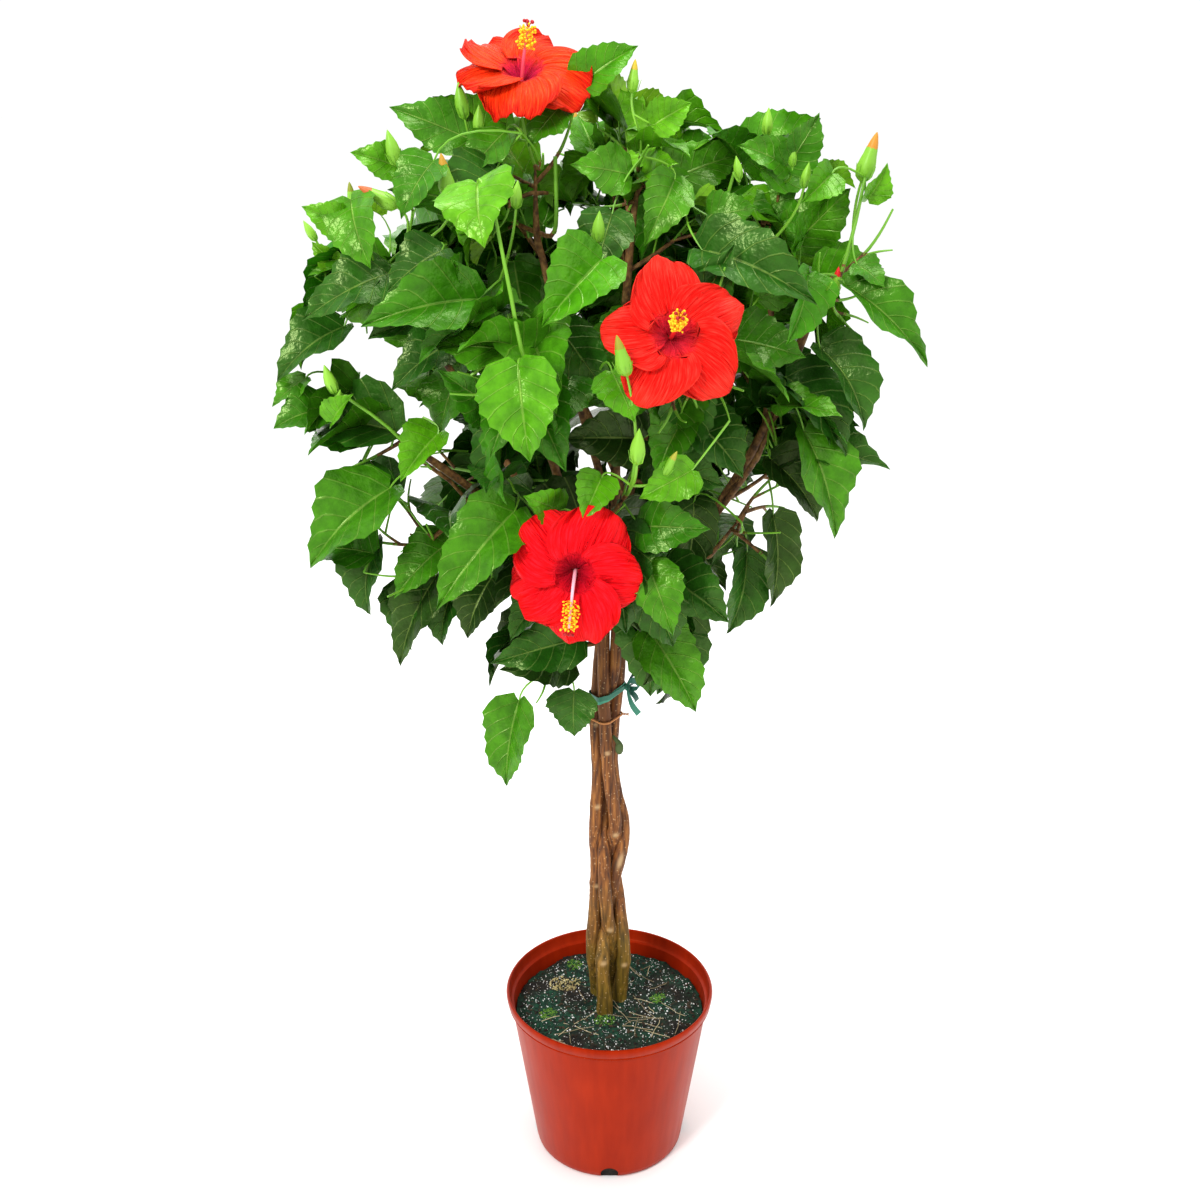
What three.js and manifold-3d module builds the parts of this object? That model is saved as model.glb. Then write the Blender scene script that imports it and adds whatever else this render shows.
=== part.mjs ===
// Braided hibiscus standard in a grower's pot, in millimetres, +Z up.
// The origin is the centre of the pot's flat underside, and -Y is the front of the crown.
// Four stems are plaited. Above the fork each stem runs on as a bough, side boughs leave
// those, and every bough ends in a mass of leaves.
import * as THREE from "three";
import { mergeVertices } from "three/addons/utils/BufferGeometryUtils.js";
import Module from "manifold-3d";

const wasm = await Module();
wasm.setup();

// Gap that keeps neighbouring solids apart once their numbers are rounded to 32 bits.
const GAP = 0.5;

// ---------------------------------------------------------------- Pot and potting mix
// A 10 inch grower's pot of blow-moulded plastic.
const POT_RADIUS = 127; // over the lip
const POT_HEIGHT = 216;
const FOOT_RADIUS = 93;
const WALL = 2.2;
const LIP_HEIGHT = 15;
const LIP_STEP = 6; // how far the lip stands out from the wall
const INNER_STEP = 3; // the ledge inside, below the lip
const FOOT_ROUND = 7; // radius of the corner between wall and floor
const POT_SEGMENTS = 32;
const DRAIN_RADIUS = 11;
const DRAIN_COUNT = 4;
const DRAIN_HEIGHT = 3;
const DRAIN_DEPTH = 26; // how far a drain hole reaches in over the floor
const MIX_LEVEL = 190;

// ---------------------------------------------------------------- Plaited trunk
const FORK_HEIGHT = 700;
const STEM_FOOT_RADIUS = 9.4;
const STEM_HEAD_RADIUS = 7.4;
const ROOT_FLARE = 0.25; // share by which a stem widens where it meets the mix
const FLARE_HEIGHT = 14; // height over which the flare dies away
const STEM_SIDES = 8;
const STEM_STEPS = 17;

// The plait is made by hand, so each stem has its own bends: each point is where the stem's
// middle passes. A stem is named for the side of the pot that its foot is on.
const STEMS = {
  stem_front: [
    [-5, -18, MIX_LEVEL], [-9, -13, 262], [-2, 7, 318], [7, -3, 380], [18, 1, 434],
    [3, 10, 500], [4, 6, 575], [11, 6, 640], [9, 7, FORK_HEIGHT],
  ],
  stem_right: [
    [11, 8, MIX_LEVEL], [18, -3, 268], [10, 4, 332], [3, 9, 396], [7, -11, 446],
    [-1, -12, 510], [-6, -11, 575], [-8, -9, 640], [-7, -9, FORK_HEIGHT],
  ],
  stem_back: [
    [4, 25, MIX_LEVEL], [3, 6, 262], [-4, -12, 332], [-7, -8, 395], [-6, 7, 450],
    [-8, 17, 510], [-6, 14, 575], [4, -5, 640], [8, -8, FORK_HEIGHT],
  ],
  stem_left: [
    [-12, 26, MIX_LEVEL], [-21, 2, 268], [-17, -1, 335], [-15, 4, 400], [-17, -6, 450],
    [-13, -1, 510], [-17, 1, 565], [-13, 5, 640], [-8, 6, FORK_HEIGHT],
  ],
};

// ---------------------------------------------------------------- Crown
const BOUGH_SIDES = 5;
const BOUGH_STEPS = 5;
const MASS_DETAIL = 2; // subdivision of the icosahedron that a mass starts from
const MASS_UNEVEN = 0.14; // depth of the hollows and swellings, as a share of the radius
const TIP_WIDTH = 0.62; // half angle, in radians, of the spur that runs out to a tip
const MASS_CLEARANCE = 1.015; // a mass's neighbours are cut back to this scale of it

// Boughs. from is the stem or bough it leaves, at is how far along that, via are the points
// that it bends through, and to is where it would end inside its mass of leaves.
const BOUGHS = [
  { name: "bough_left", from: "stem_left", at: 1, via: [[-62, -24, 790]], to: [-245, -54, 945], radii: [6.8, 4] },
  {
    name: "bough_right",
    from: "stem_front",
    at: 1,
    via: [[62, 4, 755], [139, 0, 866], [185, -20, 985]],
    to: [214, -38, 1090],
    radii: [7, 4],
  },
  { name: "bough_top", from: "stem_back", at: 1, via: [[4, -4, 870]], to: [24, -8, 1180], radii: [7, 4] },
  { name: "bough_front", from: "stem_right", at: 1, via: [[-44, -66, 850]], to: [-84, -145, 1010], radii: [6.5, 4] },
  { name: "bough_back", from: "bough_top", at: 0.14, via: [[34, 86, 880]], to: [112, 160, 1050], radii: [5.5, 3.5] },
  {
    name: "bough_front_right",
    from: "bough_right",
    at: 0.12,
    via: [[48, -62, 850]],
    to: [62, -145, 1010],
    radii: [5, 3.5],
  },
  { name: "bough_top_left", from: "bough_top", at: 0.36, via: [[-50, -6, 1010]], to: [-90, -26, 1200], radii: [5, 3.5] },
  { name: "bough_top_right", from: "bough_right", at: 0.62, via: [[166, 8, 1050]], to: [146, 2, 1150], radii: [4, 3] },
  {
    name: "bough_left_upper",
    from: "bough_left",
    at: 0.45,
    via: [[-150, -14, 960]],
    to: [-226, -28, 1080],
    radii: [4.5, 3.5],
  },
  { name: "bough_left_low", from: "bough_left", at: 0.3, via: [[-110, -40, 790]], to: [-220, -58, 800], radii: [4, 3] },
  { name: "bough_right_middle", from: "bough_right", at: 0.4, via: [[146, -20, 880]], to: [174, -44, 945], radii: [4, 3] },
  { name: "bough_right_low", from: "bough_right", at: 0.22, via: [[96, -18, 780]], to: [158, -46, 818], radii: [4, 3] },
  { name: "bough_front_low", from: "bough_front", at: 0.16, via: [[-28, -74, 775]], to: [-22, -128, 825], radii: [4, 3] },
  {
    name: "bough_back_left_upper",
    from: "bough_back",
    at: 0.3,
    via: [[-34, 100, 930]],
    to: [-120, 150, 1050],
    radii: [4.5, 3.5],
  },
  { name: "bough_back_top", from: "bough_back", at: 0.5, via: [[22, 108, 1040]], to: [-4, 116, 1180], radii: [4, 3] },
  { name: "bough_back_left", from: "bough_back", at: 0.16, via: [[-50, 84, 800]], to: [-135, 135, 865], radii: [4.5, 3] },
  { name: "bough_back_right", from: "bough_back", at: 0.24, via: [[76, 84, 815]], to: [132, 130, 870], radii: [4.5, 3] },
  { name: "bough_back_low", from: "bough_back", at: 0.04, via: [[10, 50, 742]], to: [4, 115, 748], radii: [4, 3] },
  { name: "bough_skirt_left", from: "stem_left", at: 0.94, via: [[-40, -24, 678]], to: [-78, -48, 655], radii: [3.5, 2.5] },
  { name: "bough_skirt_right", from: "stem_front", at: 0.96, via: [[36, -20, 700]], to: [58, -46, 690], radii: [3.5, 2.5] },
];

// Masses of leaves. tips are the points that the longest leaves, buds and blooms reach.
const MASSES = [
  {
    name: "leaves_front_right",
    bough: "bough_front_right",
    centre: [61, -150, 1040],
    radii: [88, 82, 100],
    tips: [[51, -236, 1010], [140, -180, 1060]],
  },
  {
    name: "leaves_front",
    bough: "bough_front",
    centre: [-94, -148, 1036],
    radii: [88, 84, 106],
    tips: [[-85, -240, 940], [-104, -205, 1150], [-196, -150, 1085]],
  },
  {
    name: "leaves_front_low",
    bough: "bough_front_low",
    centre: [-26, -138, 842],
    radii: [104, 84, 98],
    tips: [[-36, -226, 770], [-160, -150, 780]],
  },
  {
    name: "leaves_top",
    bough: "bough_top",
    centre: [30, -4, 1200],
    radii: [80, 88, 74],
    tips: [[24, -20, 1302], [90, -10, 1244]],
  },
  {
    name: "leaves_top_left",
    bough: "bough_top_left",
    centre: [-94, -26, 1206],
    radii: [82, 86, 82],
    tips: [[-76, -30, 1323], [-146, -50, 1284], [-215, -40, 1241], [-28, -40, 1282]],
  },
  {
    name: "leaves_right_upper",
    bough: "bough_right",
    centre: [222, -40, 1098],
    radii: [60, 86, 78],
    tips: [[260, -20, 1216], [318, -60, 999], [282, -60, 1180]],
  },
  {
    name: "leaves_top_right",
    bough: "bough_top_right",
    centre: [150, 2, 1162],
    radii: [64, 84, 56],
    tips: [[204, -20, 1240], [119, -30, 1214]],
  },
  {
    name: "leaves_left_upper",
    bough: "bough_left_upper",
    centre: [-228, -28, 1096],
    radii: [78, 90, 72],
    tips: [[-308, -30, 1146], [-338, -60, 981], [-226, -30, 1226]],
  },
  {
    name: "leaves_left",
    bough: "bough_left",
    centre: [-244, -58, 944],
    radii: [84, 82, 62],
    tips: [[-346, -60, 949], [-317, -70, 912]],
  },
  {
    name: "leaves_left_low",
    bough: "bough_left_low",
    centre: [-228, -58, 812],
    radii: [88, 82, 76],
    tips: [[-320, -60, 782], [-259, -60, 735], [-231, -60, 670], [-160, -70, 690]],
  },
  {
    name: "leaves_right_middle",
    bough: "bough_right_middle",
    centre: [184, -46, 962],
    radii: [76, 82, 66],
    tips: [[262, -40, 989], [256, -60, 926]],
  },
  {
    name: "leaves_right_low",
    bough: "bough_right_low",
    centre: [164, -50, 836],
    radii: [82, 82, 78],
    tips: [[230, -60, 815], [254, -60, 881], [166, -60, 739], [123, -60, 711]],
  },
  {
    name: "leaves_skirt_left",
    bough: "bough_skirt_left",
    centre: [-84, -48, 670],
    radii: [56, 58, 50],
    tips: [[-111, -60, 523], [-138, -60, 604], [-46, -40, 600], [-143, -60, 660]],
  },
  {
    name: "leaves_skirt_right",
    bough: "bough_skirt_right",
    centre: [62, -48, 696],
    radii: [44, 56, 50],
    tips: [[88, -100, 636], [50, -34, 614]],
  },
  {
    name: "leaves_back_left_upper",
    bough: "bough_back_left_upper",
    centre: [-128, 148, 1064],
    radii: [112, 92, 100],
    tips: [[-226, 200, 1100], [-100, 258, 1010]],
  },
  {
    name: "leaves_back_right_upper",
    bough: "bough_back",
    centre: [112, 150, 1062],
    radii: [112, 92, 98],
    tips: [[226, 190, 1060], [80, 260, 1030]],
  },
  {
    name: "leaves_back_top",
    bough: "bough_back_top",
    centre: [-6, 124, 1190],
    radii: [88, 80, 66],
    tips: [[60, 190, 1225], [-100, 150, 1240]],
  },
  {
    name: "leaves_back_left",
    bough: "bough_back_left",
    centre: [-140, 134, 872],
    radii: [108, 92, 92],
    tips: [[-258, 150, 850], [-120, 240, 800]],
  },
  {
    name: "leaves_back_right",
    bough: "bough_back_right",
    centre: [134, 132, 876],
    radii: [104, 92, 90],
    tips: [[240, 150, 850], [110, 240, 810]],
  },
  {
    name: "leaves_back_low",
    bough: "bough_back_low",
    centre: [-2, 124, 748],
    radii: [90, 74, 70],
    tips: [[-70, 170, 668], [60, 180, 664]],
  },
];

// ---------------------------------------------------------------- Ties
const TAPE_LEVEL = 615;
const TAPE_WIDTH = 9;
const TWIST_LEVEL = 583;
const TWIST_WIDTH = 3.5;
const TIE_THICKNESS = 1.2;
const TIE_SEGMENTS = 14;

// ---------------------------------------------------------------- Materials
const finish = (color, roughness) => new THREE.MeshStandardMaterial({ color, roughness, metalness: 0 });
const PLASTIC = finish(0xc4401f, 0.42);
const MIX = finish(0x2b2a22, 0.95);
const BARK = finish(0x8a6238, 0.8);
const BOUGH_BARK = finish(0x7a6a3a, 0.75);
const LEAVES = finish(0x2f8f1c, 0.5);
const TAPE = finish(0x0f7a66, 0.45);
const TWIST = finish(0x8b5a32, 0.7);

const lerp = THREE.MathUtils.lerp;
const vector = (p) => new THREE.Vector3(...p);

// ---------------------------------------------------------------- Solids
// A closed geometry as a solid that can be cut.
function solidOf(geometry) {
  const g = geometry.clone();
  g.deleteAttribute("normal");
  g.deleteAttribute("uv");
  const merged = mergeVertices(g, 1e-4);
  return new wasm.Manifold(
    new wasm.Mesh({
      numProp: 3,
      vertProperties: new Float32Array(merged.attributes.position.array),
      triVerts: new Uint32Array(merged.index.array),
    }),
  );
}

// The largest body of a solid, back as a geometry.
function geometryOf(solid) {
  const largest = solid.decompose().reduce((a, b) => (b.volume() > a.volume() ? b : a));
  const mesh = largest.getMesh();
  return new THREE.BufferGeometry()
    .setAttribute("position", new THREE.BufferAttribute(mesh.vertProperties, 3))
    .setIndex(new THREE.BufferAttribute(mesh.triVerts, 1));
}

const cutBy = (solid, cutters) => cutters.reduce((left, cutter) => left.subtract(cutter), solid);

// A closed tube whose rings are centred on pointAt(t), with radiusAt(t), for t from 0 to 1.
// Its rings stay square to the line, apart from level ends where levelFoot or levelHead asks.
function limbGeometry({ pointAt, radiusAt, sides, steps, levelFoot = false, levelHead = false, extra = 0 }) {
  const positions = [];
  const indices = [];
  const slope = 1e-3;
  for (let i = 0; i <= steps; i++) {
    const t = i / steps;
    const centre = pointAt(t);
    const along = pointAt(Math.min(1, t + slope)).sub(pointAt(Math.max(0, t - slope))).normalize();
    if ((i === 0 && levelFoot) || (i === steps && levelHead)) along.set(0, 0, 1);
    const across = new THREE.Vector3(0, 1, 0).cross(along).normalize();
    const over = along.clone().cross(across);
    for (let k = 0; k < sides; k++) {
      const angle = (2 * Math.PI * k) / sides;
      const p = centre
        .clone()
        .addScaledVector(across, Math.cos(angle) * (radiusAt(t) + extra))
        .addScaledVector(over, Math.sin(angle) * (radiusAt(t) + extra));
      positions.push(p.x, p.y, p.z);
    }
  }
  for (let i = 0; i < steps; i++)
    for (let k = 0; k < sides; k++) {
      const a = i * sides + k;
      const b = i * sides + ((k + 1) % sides);
      indices.push(a, b, a + sides, b, b + sides, a + sides);
    }
  for (let k = 1; k < sides - 1; k++) {
    const top = steps * sides;
    indices.push(0, k + 1, k, top, top + k, top + k + 1);
  }
  return new THREE.BufferGeometry()
    .setAttribute("position", new THREE.Float32BufferAttribute(positions, 3))
    .setIndex(indices);
}

// ---------------------------------------------------------------- Pot
function potSolid() {
  const lipFoot = POT_HEIGHT - LIP_HEIGHT;
  const wallTop = POT_RADIUS - LIP_STEP;
  const profile = new THREE.Path();
  profile.moveTo(0, 0);
  profile.lineTo(FOOT_RADIUS - FOOT_ROUND, 0);
  profile.absarc(FOOT_RADIUS - FOOT_ROUND, FOOT_ROUND, FOOT_ROUND, -Math.PI / 2, 0, false);
  profile.lineTo(wallTop, lipFoot);
  profile.lineTo(POT_RADIUS - 1.5, lipFoot + 1);
  profile.lineTo(POT_RADIUS, POT_HEIGHT - 4);
  profile.lineTo(POT_RADIUS - 1.5, POT_HEIGHT);
  profile.lineTo(POT_RADIUS - 1.5 - WALL, POT_HEIGHT);
  profile.lineTo(wallTop + 1, lipFoot + 2);
  profile.lineTo(wallTop - INNER_STEP, lipFoot - 1);
  profile.lineTo(FOOT_RADIUS - WALL - 0.5, FOOT_ROUND + WALL);
  profile.lineTo(FOOT_RADIUS - FOOT_ROUND, WALL);
  profile.lineTo(0, WALL);
  const body = solidOf(new THREE.LatheGeometry(profile.getPoints(2), POT_SEGMENTS).rotateX(Math.PI / 2));
  const drains = Array.from({ length: DRAIN_COUNT }, (_, i) => {
    const drain = new THREE.CylinderGeometry(DRAIN_RADIUS, DRAIN_RADIUS, 2 * DRAIN_DEPTH, 14);
    drain.translate(0, -FOOT_RADIUS, DRAIN_HEIGHT);
    drain.rotateZ((2 * Math.PI * i) / DRAIN_COUNT);
    return solidOf(drain);
  });
  return cutBy(body, drains);
}

// The pot's inner radius at a height, below the ledge.
const potInside = (z) => {
  const foot = FOOT_ROUND + WALL;
  const top = POT_HEIGHT - LIP_HEIGHT - 1;
  const share = Math.max(0, (z - foot) / (top - foot));
  return lerp(FOOT_RADIUS - WALL - 0.5, POT_RADIUS - LIP_STEP - INNER_STEP, share);
};

function mixSolid() {
  const foot = FOOT_ROUND + WALL;
  const clear = 1;
  const profile = [
    [0, WALL + clear],
    [FOOT_RADIUS - FOOT_ROUND - 2, WALL + clear],
    [potInside(foot) - clear, foot + clear],
    [potInside(MIX_LEVEL) - clear, MIX_LEVEL - GAP],
    [0, MIX_LEVEL - GAP],
  ].map(([r, z]) => new THREE.Vector2(r, z));
  const mix = solidOf(new THREE.LatheGeometry(profile, POT_SEGMENTS).rotateX(Math.PI / 2));
  return mix;
}

// ---------------------------------------------------------------- Stems
const stemRadius = (z) => {
  const share = (z - MIX_LEVEL) / (FORK_HEIGHT - MIX_LEVEL);
  const flare = 1 + ROOT_FLARE * Math.exp(-(z - MIX_LEVEL) / FLARE_HEIGHT);
  return lerp(STEM_FOOT_RADIUS, STEM_HEAD_RADIUS, share) * flare;
};

// The line of every limb, as a point for each share of the way along it.
const lines = {};
for (const [name, bends] of Object.entries(STEMS)) {
  const curve = new THREE.CatmullRomCurve3(bends.map(vector));
  lines[name] = (t) => curve.getPoint(t);
}

const stemSolid = (name, extra = 0) =>
  solidOf(
    limbGeometry({
      pointAt: lines[name],
      radiusAt: (t) => stemRadius(lines[name](t).z),
      sides: STEM_SIDES,
      steps: STEM_STEPS,
      levelFoot: true,
      levelHead: true,
      extra,
    }),
  );

// A stem's middle at a height: its line always climbs, so halving finds the place.
function stemAt(name, z) {
  let [low, high] = [0, 1];
  for (let i = 0; i < 30; i++) {
    const middle = (low + high) / 2;
    if (lines[name](middle).z < z) low = middle;
    else high = middle;
  }
  return lines[name](low);
}

// ---------------------------------------------------------------- Boughs
// Each bough's line starts on its parent's own line, so that its foot can be cut to fit.
for (const bough of BOUGHS) {
  const start = lines[bough.from](bough.at);
  if (bough.at === 1) start.z += GAP;
  const curve = new THREE.CatmullRomCurve3([start, ...bough.via.map(vector), vector(bough.to)]);
  lines[bough.name] = (t) => curve.getPoint(t);
}

const boughSolid = ({ name, at, radii }, extra = 0) =>
  solidOf(
    limbGeometry({
      pointAt: lines[name],
      radiusAt: (t) => lerp(radii[0], radii[1], t),
      sides: BOUGH_SIDES,
      steps: BOUGH_STEPS,
      levelFoot: at === 1,
      extra,
    }),
  );

// ---------------------------------------------------------------- Masses of leaves
// Smooth unevenness of a direction, from -1 to 1, different for each mass.
const unevenness = (d, seed) =>
  (Math.sin(4.1 * d.x + 2.3 * seed) + Math.sin(4.7 * d.y + 3.9 * seed) * Math.cos(3.3 * d.z + seed)) / 2;

function massSolid({ centre, radii, tips }, seed, scale = 1) {
  const ball = new THREE.IcosahedronGeometry(1, MASS_DETAIL);
  ball.deleteAttribute("normal");
  ball.deleteAttribute("uv");
  const shape = mergeVertices(ball, 1e-4);
  const spots = shape.attributes.position;
  const [rx, ry, rz] = radii;
  const directions = Array.from({ length: spots.count }, (_, i) => {
    return new THREE.Vector3().fromBufferAttribute(spots, i).normalize();
  });
  const reaches = directions.map((d) => {
    const even = 1 / Math.hypot(d.x / rx, d.y / ry, d.z / rz);
    return even * (1 + MASS_UNEVEN * unevenness(d, seed));
  });
  for (const tip of tips) {
    const out = vector(tip).sub(vector(centre));
    const length = out.length();
    out.normalize();
    const nearest = directions.reduce((best, d, i) => (d.dot(out) > directions[best].dot(out) ? i : best), 0);
    directions[nearest] = out;
    reaches[nearest] = length;
    directions.forEach((d, i) => {
      const share = Math.max(0, 1 - d.angleTo(out) / TIP_WIDTH);
      if (i !== nearest && length > reaches[i]) reaches[i] = lerp(reaches[i], length, share * share);
    });
  }
  directions.forEach((d, i) => {
    const p = d.clone().multiplyScalar(reaches[i] * scale).add(vector(centre));
    spots.setXYZ(i, p.x, p.y, p.z);
  });
  return solidOf(shape);
}

// ---------------------------------------------------------------- Ties
// A flat band round all four stems at a level, whose inner outline clears them.
function tieSolid(level, width, thickness) {
  const outline = (clear) => {
    const hull = Array.from({ length: TIE_SEGMENTS }, (_, i) => {
      const angle = (2 * Math.PI * i) / TIE_SEGMENTS;
      const toward = new THREE.Vector2(Math.cos(angle), Math.sin(angle));
      return { toward, reach: -Infinity };
    });
    for (const name of Object.keys(STEMS))
      for (const z of [level - width, level, level + width]) {
        const p = stemAt(name, z);
        for (const side of hull)
          side.reach = Math.max(side.reach, p.x * side.toward.x + p.y * side.toward.y + stemRadius(z));
      }
    // Corners lie where neighbouring tangent lines of the bundle cross.
    return hull.map((side, i) => {
      const next = hull[(i + 1) % hull.length];
      const turn = side.toward.x * next.toward.y - side.toward.y * next.toward.x;
      const [a, b] = [side.reach + clear, next.reach + clear];
      return new THREE.Vector2(
        (a * next.toward.y - b * side.toward.y) / turn,
        (b * side.toward.x - a * next.toward.x) / turn,
      );
    });
  };
  const band = new THREE.Shape(outline(GAP + thickness));
  band.holes.push(new THREE.Path(outline(GAP)));
  const geometry = new THREE.ExtrudeGeometry(band, { depth: width, bevelEnabled: false });
  return solidOf(geometry.translate(0, 0, level - width / 2));
}

// ---------------------------------------------------------------- Assembly
const plant = new THREE.Group();
function place(name, solid, material) {
  const mesh = new THREE.Mesh(geometryOf(solid), material);
  mesh.name = name;
  plant.add(mesh);
}

place("pot", potSolid(), PLASTIC);
place("potting_mix", mixSolid(), MIX);

const stemNames = Object.keys(STEMS);
const fatStems = stemNames.map((name) => stemSolid(name, GAP));
stemNames.forEach((name, i) => place(name, cutBy(stemSolid(name), fatStems.slice(0, i)), BARK));

place("tie_tape", tieSolid(TAPE_LEVEL, TAPE_WIDTH, TIE_THICKNESS), TAPE);
place("twist_tie", tieSolid(TWIST_LEVEL, TWIST_WIDTH, TIE_THICKNESS), TWIST);

const fatBoughs = Object.fromEntries(BOUGHS.map((bough) => [bough.name, boughSolid(bough, GAP)]));

// A mass is cut back by the masses before it, and round every limb but its own bough.
const masses = [];
MASSES.forEach((mass, i) => {
  const earlier = MASSES.slice(0, i).map((other, k) => massSolid(other, k, MASS_CLEARANCE));
  const others = BOUGHS.filter(({ name }) => name !== mass.bough).map(({ name }) => fatBoughs[name]);
  masses.push(cutBy(massSolid(mass, i), [...earlier, ...others, ...fatStems]));
  place(mass.name, masses[i], LEAVES);
});

// A bough is cut to fit the stems and earlier boughs at its foot, and ends at its mass.
BOUGHS.forEach((bough, i) => {
  const own = MASSES.findIndex((mass) => mass.bough === bough.name);
  const earlier = BOUGHS.slice(0, i).map(({ name }) => fatBoughs[name]);
  const end = massSolid(MASSES[own], own, MASS_CLEARANCE);
  place(bough.name, cutBy(boughSolid(bough), [...fatStems, ...earlier, end]), BOUGH_BARK);
});

export default plant;
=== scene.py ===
"""A hibiscus grown as a small standard tree: four plaited stems, a round leafy crown with large
red blooms, and a plastic grower's pot. Lengths are in metres, +Z is up and -Y is the front."""

import math
import random

import bmesh
import bpy
from mathutils import Matrix, Vector, noise
from mathutils.bvhtree import BVHTree
from mathutils.geometry import convex_hull_2d


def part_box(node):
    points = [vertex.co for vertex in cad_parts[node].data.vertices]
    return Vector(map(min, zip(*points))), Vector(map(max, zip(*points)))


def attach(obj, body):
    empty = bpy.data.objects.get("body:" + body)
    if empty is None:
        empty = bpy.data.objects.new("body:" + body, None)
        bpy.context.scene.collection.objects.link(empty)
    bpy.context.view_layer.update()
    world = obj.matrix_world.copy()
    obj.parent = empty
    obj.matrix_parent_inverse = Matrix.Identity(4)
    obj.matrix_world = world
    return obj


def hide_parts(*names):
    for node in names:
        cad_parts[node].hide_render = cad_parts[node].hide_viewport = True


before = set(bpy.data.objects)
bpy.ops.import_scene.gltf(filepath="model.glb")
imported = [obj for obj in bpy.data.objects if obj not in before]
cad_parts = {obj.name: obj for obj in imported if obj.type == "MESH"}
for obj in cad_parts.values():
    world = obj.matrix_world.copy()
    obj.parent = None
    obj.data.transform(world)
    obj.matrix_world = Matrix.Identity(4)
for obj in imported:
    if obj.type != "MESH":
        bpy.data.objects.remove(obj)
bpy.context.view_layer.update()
bpy.ops.object.select_all(action="DESELECT")


# ------------------------------------------------------------------ Studio
# A pale floor under a pale surround, lit by large soft boxes: a key from the front left,
# a fill from the right, one overhead that puts the gloss on the leaves, and one behind.
def linear(code):
    """An sRGB hex colour, such as #C4401F, as linear red, green and blue with an alpha of 1."""
    parts = [int(code[i : i + 2], 16) / 255 for i in (1, 3, 5)]
    return (*[p / 12.92 if p <= 0.04045 else ((p + 0.055) / 1.055) ** 2.4 for p in parts], 1)


def value_of(given):
    """A hex colour as its linear colour, and anything else as it is."""
    return linear(given) if isinstance(given, str) else given


def add(made, kind, inputs=None, out=0, stops=(), **settings):
    """Adds a node with its settings, values and links, and gives the output that is asked for."""
    new = made.node_tree.nodes.new("ShaderNode" + kind)
    for name, value in settings.items():
        setattr(new, name, value)
    for name, value in (inputs or {}).items():
        if isinstance(value, bpy.types.NodeSocket):
            made.node_tree.links.new(value, new.inputs[name])
        else:
            new.inputs[name].default_value = value_of(value)
    for i, (place, colour) in enumerate(stops):
        stop = new.color_ramp.elements[i] if i < 2 else new.color_ramp.elements.new(place)
        stop.position = place
        stop.color = linear(colour)
    return new.outputs[out]


def material(name, **shader):
    """A material whose shader holds the given values in its own sockets."""
    made = bpy.data.materials.new(name)
    made.use_nodes = True
    for socket, value in shader.items():
        own = made.node_tree.nodes["Principled BSDF"].inputs[socket.replace("_", " ")]
        own.default_value = value_of(value)
    return made


def feed(made, **sockets):
    """Links nodes' outputs to the shader's sockets."""
    for socket, output in sockets.items():
        shader = made.node_tree.nodes["Principled BSDF"]
        made.node_tree.links.new(output, shader.inputs[socket.replace("_", " ")])


CAMERA_PLACE = (-0.0116, -1.5, 1.297)
CAMERA_DIP = 20.86  # degrees below level
CAMERA_LENS = 43.38  # mm, on a 36 mm sensor
VIEW_GAMMA = 0.9  # a little more contrast
FLOOR_WIDTH = 60  # far enough for no horizon to show
SURROUND_STRENGTH = 1.06  # just over pure white

bpy.ops.object.camera_add(location=CAMERA_PLACE, rotation=(math.radians(90 - CAMERA_DIP), 0, 0))
camera = bpy.context.object
camera.data.lens = CAMERA_LENS
bpy.context.scene.camera = camera
bpy.context.scene.view_settings.view_transform = "Standard"
bpy.context.scene.view_settings.gamma = VIEW_GAMMA

bpy.ops.mesh.primitive_plane_add(size=FLOOR_WIDTH)
floor = bpy.context.object
floor.name = "floor"
floor.data.materials.append(material("matt_white_paint", Base_Color="#FBFBFA", Roughness=0.9))

world = bpy.data.worlds.new("pale_surround")
world.use_nodes = True
surround = world.node_tree.nodes["Background"].inputs
surround["Color"].default_value = linear("#FFFFFF")
surround["Strength"].default_value = SURROUND_STRENGTH
bpy.context.scene.world = world

CROWN_MIDDLE = Vector((0, 0, 0.95))
SOFT_BOXES = [  # name, place, width, power in watts
    ("key_box", (-1.5, -2.2, 2.6), 0.7, 64),
    ("fill_box", (2.2, -1.4, 1.6), 1.6, 8),
    ("top_box", (0.2, 0.2, 3.0), 1.2, 34),
    ("back_box", (-0.8, 2.6, 1.8), 1.6, 10),
]
for name, place, width, power in SOFT_BOXES:
    bpy.ops.object.light_add(type="AREA", location=place)
    box = bpy.context.object
    box.name = name
    box.data.size = width
    box.data.energy = power
    box.rotation_euler = (CROWN_MIDDLE - Vector(place)).to_track_quat("-Z", "Y").to_euler()


# ------------------------------------------------------------------ Pot
# A 10 inch grower's pot, blow-moulded in orange polypropylene: a plain tapering wall, a rolled
# lip with a ledge under it inside and out, and drain holes at the edge of the foot.
def edit(obj):
    """Makes an object the one in edit mode, with nothing else selected."""
    bpy.ops.object.select_all(action="DESELECT")
    bpy.context.view_layer.objects.active = obj
    obj.select_set(True)
    bpy.ops.object.mode_set(mode="EDIT")


def rings(profile):
    """Extrudes the selected end face from each (radius, height) of a profile to the next."""
    for (radius, height), (next_radius, next_height) in zip(profile, profile[1:]):
        bpy.ops.mesh.extrude_region_move(TRANSFORM_OT_translate={"value": (0, 0, next_height - height)})
        grow = next_radius / radius
        bpy.ops.transform.resize(value=(grow, grow, 1), center_override=(0, 0, next_height))


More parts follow.
